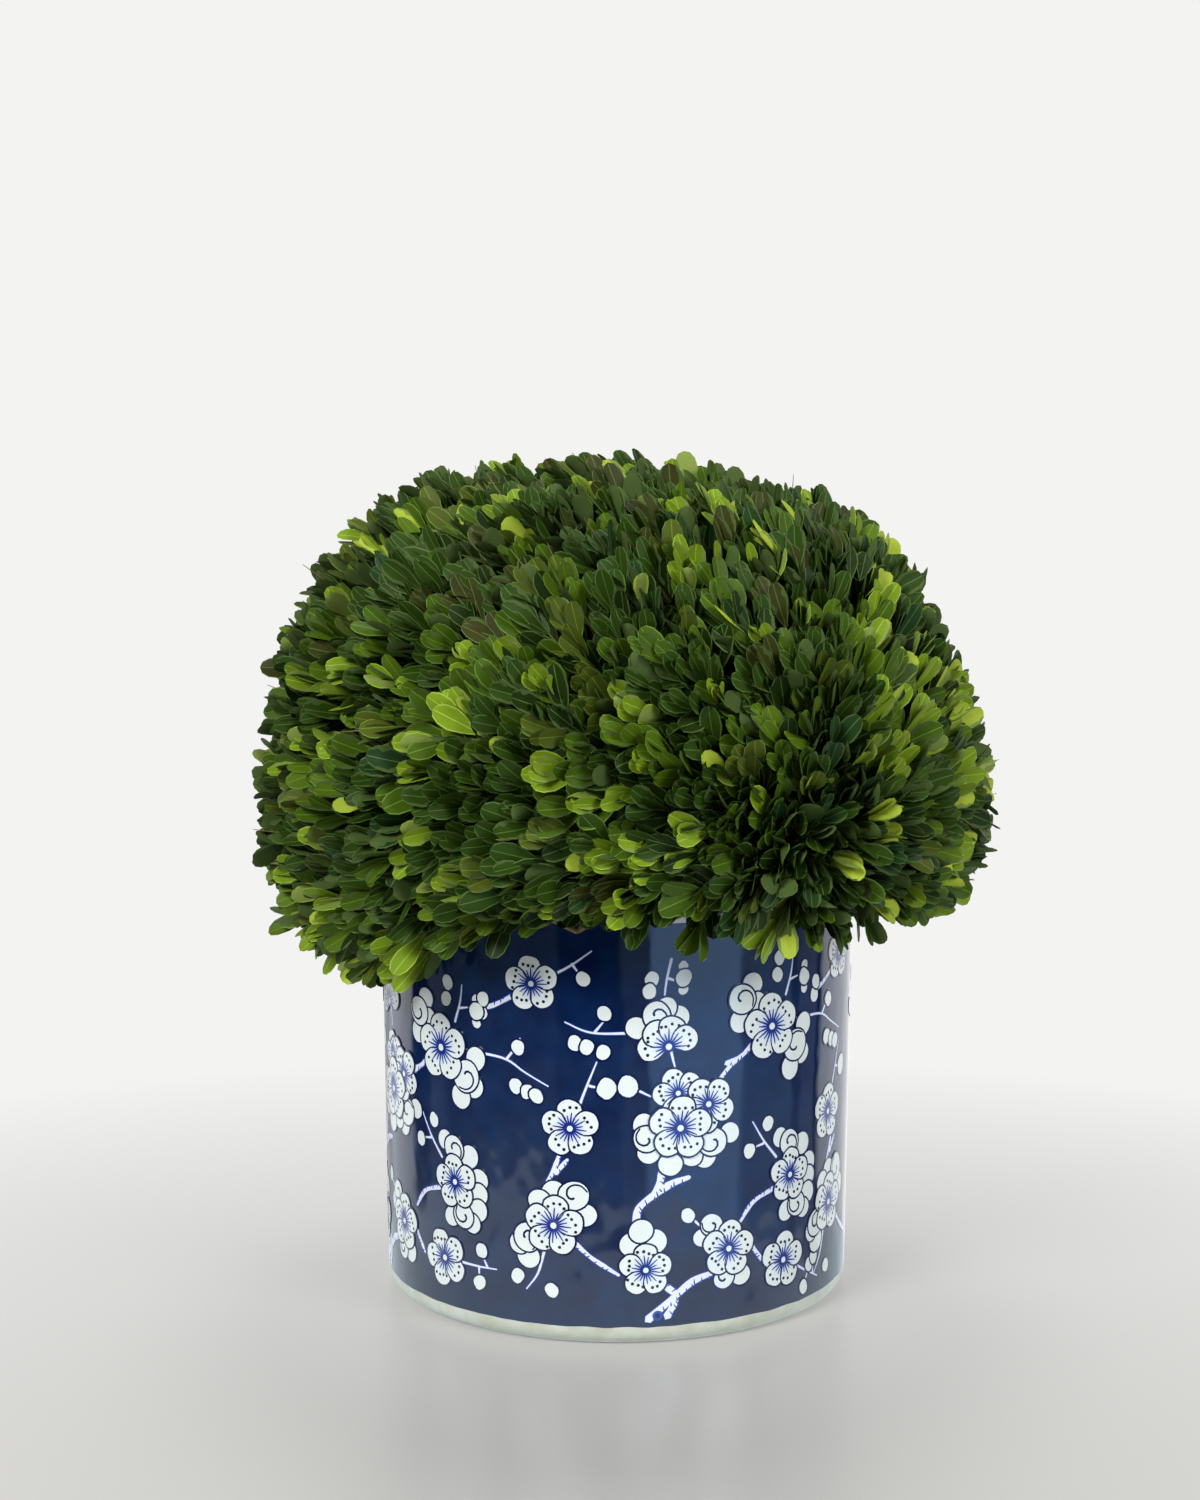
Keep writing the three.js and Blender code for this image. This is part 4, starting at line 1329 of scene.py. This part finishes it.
def grow_mass(mass, stem_start, stem_along, rows, sweep, first_turns, chance):
    """Twigs run from the stem's end to a fork for each row and sweep, and from there to finer forks."""
    stem_end = stem_start + stem_along * MASS_STEM
    wood = mass["wood"]
    wood.append(([stem_start - stem_along * 4, stem_end], STEM_TWIG))
    for share, first in itertools.product(rows, first_turns):
        middle = first + sweep / 2
        radius, height = row_point(share, middle)
        low = height <= LOW_ROWS
        drawn_in = lambda scale: (radius * scale, mix(FORK_HEIGHT, height, scale))
        fork = round_at(middle, *(LOW_FORK if low else drawn_in(FORK_SCALE)))
        wood.append(([stem_end, stem_end.lerp(fork, 0.5), fork], FORK_TWIG))
        cells = max(1, round(radius * sweep / RING_STEP))
        for cell in range(cells):
            turn_at = lambda part: first + sweep * (cell + part) / cells
            rise = chance.uniform(-LOW_FORK_STRAY, LOW_FORK_STRAY)
            low_place = (LOW_SECOND_FORK[0], LOW_SECOND_FORK[1] + rise)
            second = round_at(turn_at(0.5), *(low_place if low else drawn_in(SECOND_FORK_SCALE)))
            half_way = fork.lerp(second, 0.5) + stray_vector(chance, FINE_TWIG_STRAY)
            wood.append(([fork, half_way, second], FINE_TWIG))
            grow_clump(mass, second, share, turn_at, sweep / cells, chance)


def in_cap(share):
    radius, height = outline_point(share)
    return (height - CAP_APEX) * math.sin(CAP_HALF_ANGLE) > radius * math.cos(CAP_HALF_ANGLE)


row_shares = [mix(FIRST_ROW, LAST_ROW, row / (ROWS - 1)) for row in range(ROWS)]
side_rows = [share for share in row_shares if not in_cap(share)]
cap_rows = [share for share in row_shares if in_cap(share)]
sweep = 2 * math.pi / SIDE_MASSES
for index in range(SIDE_MASSES):
    line = bough_line(index)
    along = (line[-1] - line[-2]).normalized()
    start = line[-1] + along * GAP
    mass = grown[f"{index + 1}"]
    grow_mass(mass, start, along, side_rows, sweep, [index * sweep], random.Random(SEED + index))
top_tip = stem_middle(STEM_TIP + GAP) + Vector((0, 0, TOP_BOUGH_LENGTH))
quarter_turns = [k * math.pi / 2 for k in range(4)]
upwards = Vector((0, 0, 1))
grow_mass(grown["top"], top_tip, upwards, cap_rows, math.pi / 2, quarter_turns, random.Random(SEED - 1))
print("leaves:", {name: len(mass["leaves"]) for name, mass in grown.items()})

# %% [markdown]
# ## Bark
# The short stem and the nine boughs are woody, with shallow ridges that run along them. Each limb is a row
# of rings whose radius varies with noise, drawn out along the limb. Boxwood bark is grey-brown and matt.

# %% Limbs
STEM_STEPS = 24
STEM_SIDES = 28
STEM_RELIEF = 0.1
BOUGH_RADII = (4.4, 3)
LEADER_RADII = (5.5, 3.8)
BOUGH_SIDES = 16
BOUGH_RELIEF = 0.12
BARK_SHARP_ANGLE = 60
RIDGES = 2.6
RIDGE_STEP = 0.16
BARK_COLOURS = [(0.3, "#4f4030"), (0.55, "#786549"), (0.8, "#978564")]
bark = grained("boxwood_bark", "#75624a", 0.85, 2.2, BARK_COLOURS, 0.7, detail=6.0, stretch=(1, 1, 0.35))
limb_points = []
limb_faces = []


def add_limb(path, radii, sides, relief):
    """Adds a closed tube round a path, with ridges."""
    rings = []
    for i, middle in enumerate(path):
        along = way_along(path, i)
        across = square_to(along, Vector((0.31, 1, 0.17)))
        third = along.cross(across)
        rings.append(range(len(limb_points), len(limb_points) + sides))
        for turn in angles_round(sides):
            ridge = noise.noise(round_at(turn, RIDGES, i * RIDGE_STEP))
            out = across * math.cos(turn) + third * math.sin(turn)
            limb_points.append(middle + out * radii[i] * (1 + relief * ridge))
    limb_faces.extend([*between_rings(rings), tuple(reversed(rings[0])), tuple(rings[-1])])


def tapered(path, thick, thin):
    return [mix(thick, thin, i / (len(path) - 1)) for i in range(len(path))]


heights = [mix(STEM_FOOT, STEM_TIP, k / STEM_STEPS) for k in range(STEM_STEPS + 1)]
stem_path = [stem_middle(height) for height in heights]
add_limb(stem_path, [stem_radius(height) for height in heights], STEM_SIDES, STEM_RELIEF)
for index in range(SIDE_MASSES):
    path = smooth_path(bough_line(index), 1.8)
    add_limb(path, tapered(path, *BOUGH_RADII), BOUGH_SIDES, BOUGH_RELIEF)
leader = smooth_path([stem_middle(STEM_TIP - 1), top_tip], 2)
add_limb(leader, tapered(leader, *LEADER_RADII), BOUGH_SIDES, BOUGH_RELIEF)
limb_mesh = make_mesh("limbs", limb_points, limb_faces, [bark], sharp=BARK_SHARP_ANGLE)
bough_names = [f"bough_{index + 1}" for index in range(SIDE_MASSES)]
belongs(make_piece("bark_stem_and_boughs", limb_mesh), "bark", "stem", *bough_names, "bough_top")

# %% [markdown]
# ## Twigs
# Every twig is a path with a thickness at each point. Geometry Nodes turn such paths to curves and sweep a
# small circle along them. That keeps one recipe for some thousand twigs, and the number of sides stays a
# setting of the tree.


# %% Twig tree
def new_tree(name, inputs):
    """A Geometry Nodes tree with a geometry input and output and the named inputs given."""
    tree = bpy.data.node_groups.new(name, "GeometryNodeTree")
    tree.is_modifier = True
    tree.interface.new_socket("Geometry", in_out="INPUT", socket_type="NodeSocketGeometry")
    for label, kind in inputs.items():
        tree.interface.new_socket(label, in_out="INPUT", socket_type=f"NodeSocket{kind}")
    tree.interface.new_socket("Geometry", in_out="OUTPUT", socket_type="NodeSocketGeometry")
    return tree, add_node(tree, "NodeGroupInput").outputs


def run_tree(source, tree, values, name):
    """Runs a tree on an object with named input values and returns the result as a plain piece."""
    modifier = source.modifiers.new(tree.name, "NODES")
    modifier.node_group = tree
    sockets = {item.name: item.identifier for item in tree.interface.items_tree if item.in_out == "INPUT"}
    for label, value in values.items():
        modifier[sockets[label]] = value
    evaluated = source.evaluated_get(bpy.context.evaluated_depsgraph_get())
    mesh = bpy.data.meshes.new_from_object(evaluated)
    bpy.data.objects.remove(source)
    mesh.name = name
    return make_piece(name, mesh)


def stored(tree, name, kind):
    return output_of(tree, "GeometryNodeInputNamedAttribute", {"Name": name}, data_type=kind)


young_bark = make_finish("young_twig_bark", "#6b5b38", 0.7)
add_bump(young_bark, object_noise(young_bark, 1.0, detail=4.0), 0.15)
twig_tree, given = new_tree("sweep_twigs", {"Thickness": "Float", "Sides": "Int"})
radius = math_of(twig_tree, "MULTIPLY", stored(twig_tree, "thickness", "FLOAT"), given["Thickness"])
lines = output_of(twig_tree, "GeometryNodeMeshToCurve", {"Mesh": given["Geometry"]})
circle_sockets = {"Resolution": given["Sides"], "Radius": 1.0}
circle = output_of(twig_tree, "GeometryNodeCurvePrimitiveCircle", circle_sockets)
sweep_sockets = {"Curve": lines, "Profile Curve": circle, "Scale": radius, "Fill Caps": True}
swept = output_of(twig_tree, "GeometryNodeCurveToMesh", sweep_sockets)
whole = output_of(twig_tree, "GeometryNodeRealizeInstances", {0: swept})
coated = output_of(twig_tree, "GeometryNodeSetMaterial", {"Geometry": whole, "Material": young_bark})
add_node(twig_tree, "NodeGroupOutput", {0: coated})
print("twig tree:", len(twig_tree.nodes), "nodes")

# %% Twigs
twig_points = []
twig_edges = []
twig_sizes = []
for mass in grown.values():
    for path, radii in mass["wood"]:
        first = len(twig_points)
        twig_points.extend(point * MM for point in path)
        twig_sizes.extend(radii)
        twig_edges.extend((first + i, first + i + 1) for i in range(len(path) - 1))
twig_lines = bpy.data.meshes.new("twig_lines")
twig_lines.from_pydata(twig_points, twig_edges, [])
store_values(twig_lines, "thickness", "FLOAT", twig_sizes)
twig_values = {"Thickness": MM, "Sides": 5}
belongs(run_tree(make_piece("twig_lines", twig_lines), twig_tree, twig_values, "fine_twigs"), "bark")

# %% [markdown]
# ## One leaf
# A boxwood leaf is a small paddle, widest past its middle, with a broad round tip, about 22 by 9 mm.
# The upper face is deep green and waxy with a paler midrib and a thin pale margin; the margin is partly the
# leaf's own paler green and partly a painted highlight, where light catches the rolled edge. The under face
# is paler and matt. Each leaf here is a thin closed shell: five strips above and two below. Five shapes,
# from flat to rolled, are enough to hide the repeats.

# %% Leaf shapes
# Along the leaf: share of its length, share of its half width
LEAF_STATIONS = ((0.12, 0.27), (0.34, 0.68), (0.6, 1.0), (0.81, 0.9), (0.94, 0.55))
LEAF_HALF_WIDTH = 0.208
MIDRIB = 0.008
# The pale edge strip: partly the leaf's own paler margin, partly a painted highlight on the rolled edge
MARGIN_HIGHLIGHT = 0.022
KEEL = 0.02
TIP = 0.985
LEAF_SHARP_ANGLE = 75
UPPER_FACE, RIB_AND_MARGIN_HIGHLIGHT, UNDER_FACE = range(3)
STRIPS = (RIB_AND_MARGIN_HIGHLIGHT, UPPER_FACE, RIB_AND_MARGIN_HIGHLIGHT, UPPER_FACE, RIB_AND_MARGIN_HIGHLIGHT, UNDER_FACE, UNDER_FACE)


def leaf_mesh(name, cup, bend, twist):
    """A leaf one unit long from its root at the origin towards +Y, with its upper face towards +Z."""

    def place(share, side, drop=0.0):
        z = cup * (side / LEAF_HALF_WIDTH) ** 2 + bend * share * share - drop
        angle = twist * share
        x, lifted = turned(side, z, angle)
        return (x, share, lifted)

    points = [place(0, 0)]
    for share, wide in LEAF_STATIONS:
        half = LEAF_HALF_WIDTH * wide
        inner = half - min(MARGIN_HIGHLIGHT, 0.3 * half)
        points += [place(share, side) for side in (-half, -inner, -MIDRIB, MIDRIB, inner, half)]
        points.append(place(share, 0, KEEL))
    points.append(place(TIP, 0))
    # A ring is six points above, from left to right, and the keel below; a strip joins two neighbours
    count = 7
    tip = len(points) - 1
    faces = []
    for k in range(count):
        after = (k + 1) % count
        faces.append((0, 1 + after, 1 + k))
        for ring in range(1, 1 + count * (len(LEAF_STATIONS) - 1), count):
            faces.append((ring + k, ring + after, ring + count + after, ring + count + k))
        faces.append((tip - count + k, tip - count + after, tip))
    parts = [strip for strip in STRIPS for _ in range(len(LEAF_STATIONS) + 1)]
    mesh = bpy.data.meshes.new(name)
    mesh.from_pydata(points, [], faces, shade_flat=False)
    store_values(mesh, "part", "INT", parts, "FACE")
    mesh.set_sharp_from_angle(angle=math.radians(LEAF_SHARP_ANGLE))
    return mesh


# Each shape: how far its edges rise, how far its tip rises, its twist
LEAF_SHAPES = {
    "leaf_flat": (0.02, -0.03, 0.0),
    "leaf_cupped": (0.075, 0.05, 0.08),
    "leaf_rolled_down": (-0.035, -0.08, -0.12),
    "leaf_bent_back": (0.045, -0.14, 0.18),
    "leaf_spoon": (0.06, 0.1, -0.2),
}
leaf_objects = [make_piece(name, leaf_mesh(name, *shape)) for name, shape in LEAF_SHAPES.items()]
print("leaf shapes:", [o.name for o in leaf_objects])

# %% [markdown]
# ### Leaf finishes
# Preserved boxwood keeps a waxy, half-matt upper face. The colours are plain, one for each kind of spray:
# the deep greens make the mass and the fresh ones the scattered light leaves.

# %% Leaf finishes
LEAF_GREENS = {
    "waxy_leaf_mid_green": "#3c540d",
    "waxy_leaf_deep_green": "#273d09",
    "waxy_leaf_bluish_green": "#1e3717",
    "waxy_leaf_browned": "#32340f",
    "waxy_leaf_fresh_green": "#6d8818",
    "waxy_leaf_bright_green": "#9eb036",
    "waxy_leaf_warm_green": "#4a620e",
    "waxy_leaf_olive": "#485316",
    "waxy_leaf_old_green_in_painted_shade": "#1a2b06",
}
LEAF_IOR = 1.45
LEAF_SHINE = 0.12
UPPER_ROUGHNESS = 0.48
RIB_ROUGHNESS = 0.5
UNDER_ROUGHNESS = 0.65


def leaf_finish(name, colour, roughness):
    material = make_finish(name, colour, roughness, IOR=LEAF_IOR, Specular_IOR_Level=LEAF_SHINE)
    add_bump(material, object_noise(material, 2.2), 0.12)
    return material


upper_finishes = [leaf_finish(name, colour, UPPER_ROUGHNESS) for name, colour in LEAF_GREENS.items()]
# Rib and margin strips: a paler rib, and a margin that is partly paler green and partly painted highlight
dark_rib = leaf_finish("rib_and_margin_highlight_of_deep_leaf", "#4d6632", RIB_ROUGHNESS)
mid_rib = leaf_finish("rib_and_margin_highlight_of_mid_leaf", "#607d2f", RIB_ROUGHNESS)
fresh_rib = leaf_finish("pale_rib_and_margin_highlight_of_fresh_leaf", "#93ac47", RIB_ROUGHNESS)
green_under = leaf_finish("matt_leaf_under_face", "#43552a", UNDER_ROUGHNESS)
fresh_under = leaf_finish("matt_under_face_of_fresh_leaf", "#768840", UNDER_ROUGHNESS)
rib_of_tint = defaultdict(lambda: mid_rib, {tint: dark_rib for tint in (DEEP, BLUISH, BROWNED, OLD_IN_SHADE)})
rib_of_tint.update({FRESH: fresh_rib, BRIGHT: fresh_rib})
print("leaf greens:", len(upper_finishes))

# %% [markdown]
# ## All the leaves
# The leaves of a mass are points, each with a turn, a size and a tint. Geometry Nodes put one of the five
# leaf shapes on each point, make the copies real, and give each face its finish from the leaf's tint and
# from the part of the leaf it is.

# %% Leaf tree
LEAF_INPUTS = {"Leaf length": "Float", "Size stray": "Float", "Seed": "Int"}
leaf_tree, given = new_tree("put_leaves_on_shoots", LEAF_INPUTS)
shelf = add_node(leaf_tree, "GeometryNodeJoinGeometry")
for shape in leaf_objects:
    shape_sockets = {"Object": shape, "As Instance": True}
    geometry = output_of(leaf_tree, "GeometryNodeObjectInfo", shape_sockets, "Geometry")
    leaf_tree.links.new(geometry, shelf.inputs[0])


def random_of(first, limits, output, kind):
    sockets = {first: limits[0], first + 1: limits[1], "Seed": given["Seed"]}
    return output_of(leaf_tree, "FunctionNodeRandomValue", sockets, output, data_type=kind)


def matches(value, number):
    sockets = {2: value, 3: number}
    return output_of(leaf_tree, "FunctionNodeCompare", sockets, data_type="INT", operation="EQUAL")


longest = math_of(leaf_tree, "MULTIPLY", stored(leaf_tree, "size", "FLOAT"), given["Leaf length"])
stray = random_of(2, (-1.0, 1.0), 1, "FLOAT")
leaf_scale = math_of(
    leaf_tree, "MULTIPLY", longest, math_of(leaf_tree, "MULTIPLY_ADD", stray, given["Size stray"], 1.0)
)
pick = random_of(4, (0, len(leaf_objects) - 1), 2, "INT")
placed = output_of(
    leaf_tree,
    "GeometryNodeInstanceOnPoints",
    {
        "Points": given["Geometry"],
        "Instance": shelf.outputs[0],
        "Pick Instance": True,
        "Instance Index": pick,
        "Rotation": stored(leaf_tree, "turn", "FLOAT_VECTOR"),
        "Scale": leaf_scale,
    },
)
dressed = output_of(leaf_tree, "GeometryNodeRealizeInstances", {0: placed})
tint_given = stored(leaf_tree, "tint", "INT")
part_given = stored(leaf_tree, "part", "INT")
for tint, upper in enumerate(upper_finishes):
    rib = rib_of_tint[tint]
    under = fresh_under if rib == fresh_rib else green_under
    for part, finish in enumerate((upper, rib, under)):
        tests = {0: matches(tint_given, tint), 1: matches(part_given, part)}
        chosen = output_of(leaf_tree, "FunctionNodeBooleanMath", tests, operation="AND")
        coat = {"Geometry": dressed, "Selection": chosen, "Material": finish}
        dressed = output_of(leaf_tree, "GeometryNodeSetMaterial", coat)
add_node(leaf_tree, "NodeGroupOutput", {0: dressed})
print("leaf tree:", len(leaf_tree.nodes), "nodes")

# %% Leaves of each mass
SIZE_STRAY = 0.06
for number, (name, mass) in enumerate(grown.items()):
    roots, turns, sizes, tints = zip(*mass["leaves"])
    points = bpy.data.meshes.new("leaf_points")
    points.from_pydata([root * MM for root in roots], [], [])
    store_values(points, "turn", "FLOAT_VECTOR", [angle for turn in turns for angle in turn])
    store_values(points, "size", "FLOAT", sizes)
    store_values(points, "tint", "INT", tints)
    values = {"Leaf length": LEAF_LENGTH * MM, "Size stray": SIZE_STRAY, "Seed": SEED + number}
    piece = run_tree(make_piece("leaf_points", points), leaf_tree, values, f"leaves_{name}")
    belongs(piece, "foliage", f"foliage_{name}")
for shape in leaf_objects:
    bpy.data.objects.remove(shape)

# %% [markdown]
# ## The dense inside
# Behind the outer leaves of a clipped plant is a tangle of old twigs and leaves. A rough shell inside
# the leaves stands for it, so that no light comes through the dome. Its near-black colours are partly the
# old wood and leaves and partly painted shade for the deep inside of the dome.

# %% Inner tangle
TANGLE_SCALE = 0.78
TANGLE_FLOOR = 183
TANGLE_LIP = 179  # it hangs so low outside the pot's rim
TANGLE_ROUGH = 0.035
TANGLE_ROUGH_LENGTH = 9
TANGLE_SIDES = 96
TANGLE_SHADE_COLOURS = [(0.35, "#0f1408"), (0.6, "#20260f"), (0.75, "#2e2a18")]
tangle_finish = grained("old_leaves_and_twigs_in_painted_shade", "#20260f", 0.95, 6, TANGLE_SHADE_COLOURS, depth=3.0, detail=5.0)
tangle_profile = [(0, TANGLE_FLOOR), (RIM_RADIUS + 3, TANGLE_FLOOR), (RIM_RADIUS + 5, TANGLE_LIP)]
for share in [k / 30 for k in range(31)]:
    radius, height = outline_point(share)
    drawn_in = mix(CROWN_MIDDLE, height, TANGLE_SCALE)
    if drawn_in > TANGLE_LIP + 3:
        tangle_profile.append((radius * TANGLE_SCALE if share < 1 else 0, drawn_in))
tangle_points, tangle_faces = sweep_round(tangle_profile, TANGLE_SIDES)
for i, (x, y, z) in enumerate(tangle_points):
    swell = 1 + TANGLE_ROUGH * noise.noise(Vector((x, y, z)) / TANGLE_ROUGH_LENGTH)
    if z >= TANGLE_FLOOR + 1:
        z = CROWN_MIDDLE + (z - CROWN_MIDDLE) * swell
    tangle_points[i] = (x * swell, y * swell, z)
tangle_mesh = make_mesh("inner_tangle", tangle_points, tangle_faces, [tangle_finish])
belongs(make_piece("inner_tangle", tangle_mesh), "foliage")

# %% [markdown]
# ## The solid model's size
# The dressed plant has to stay the size of the solid model, and the solid model's box is printed.

# %% Print the solid model's box
print("solid box:", solid_box)
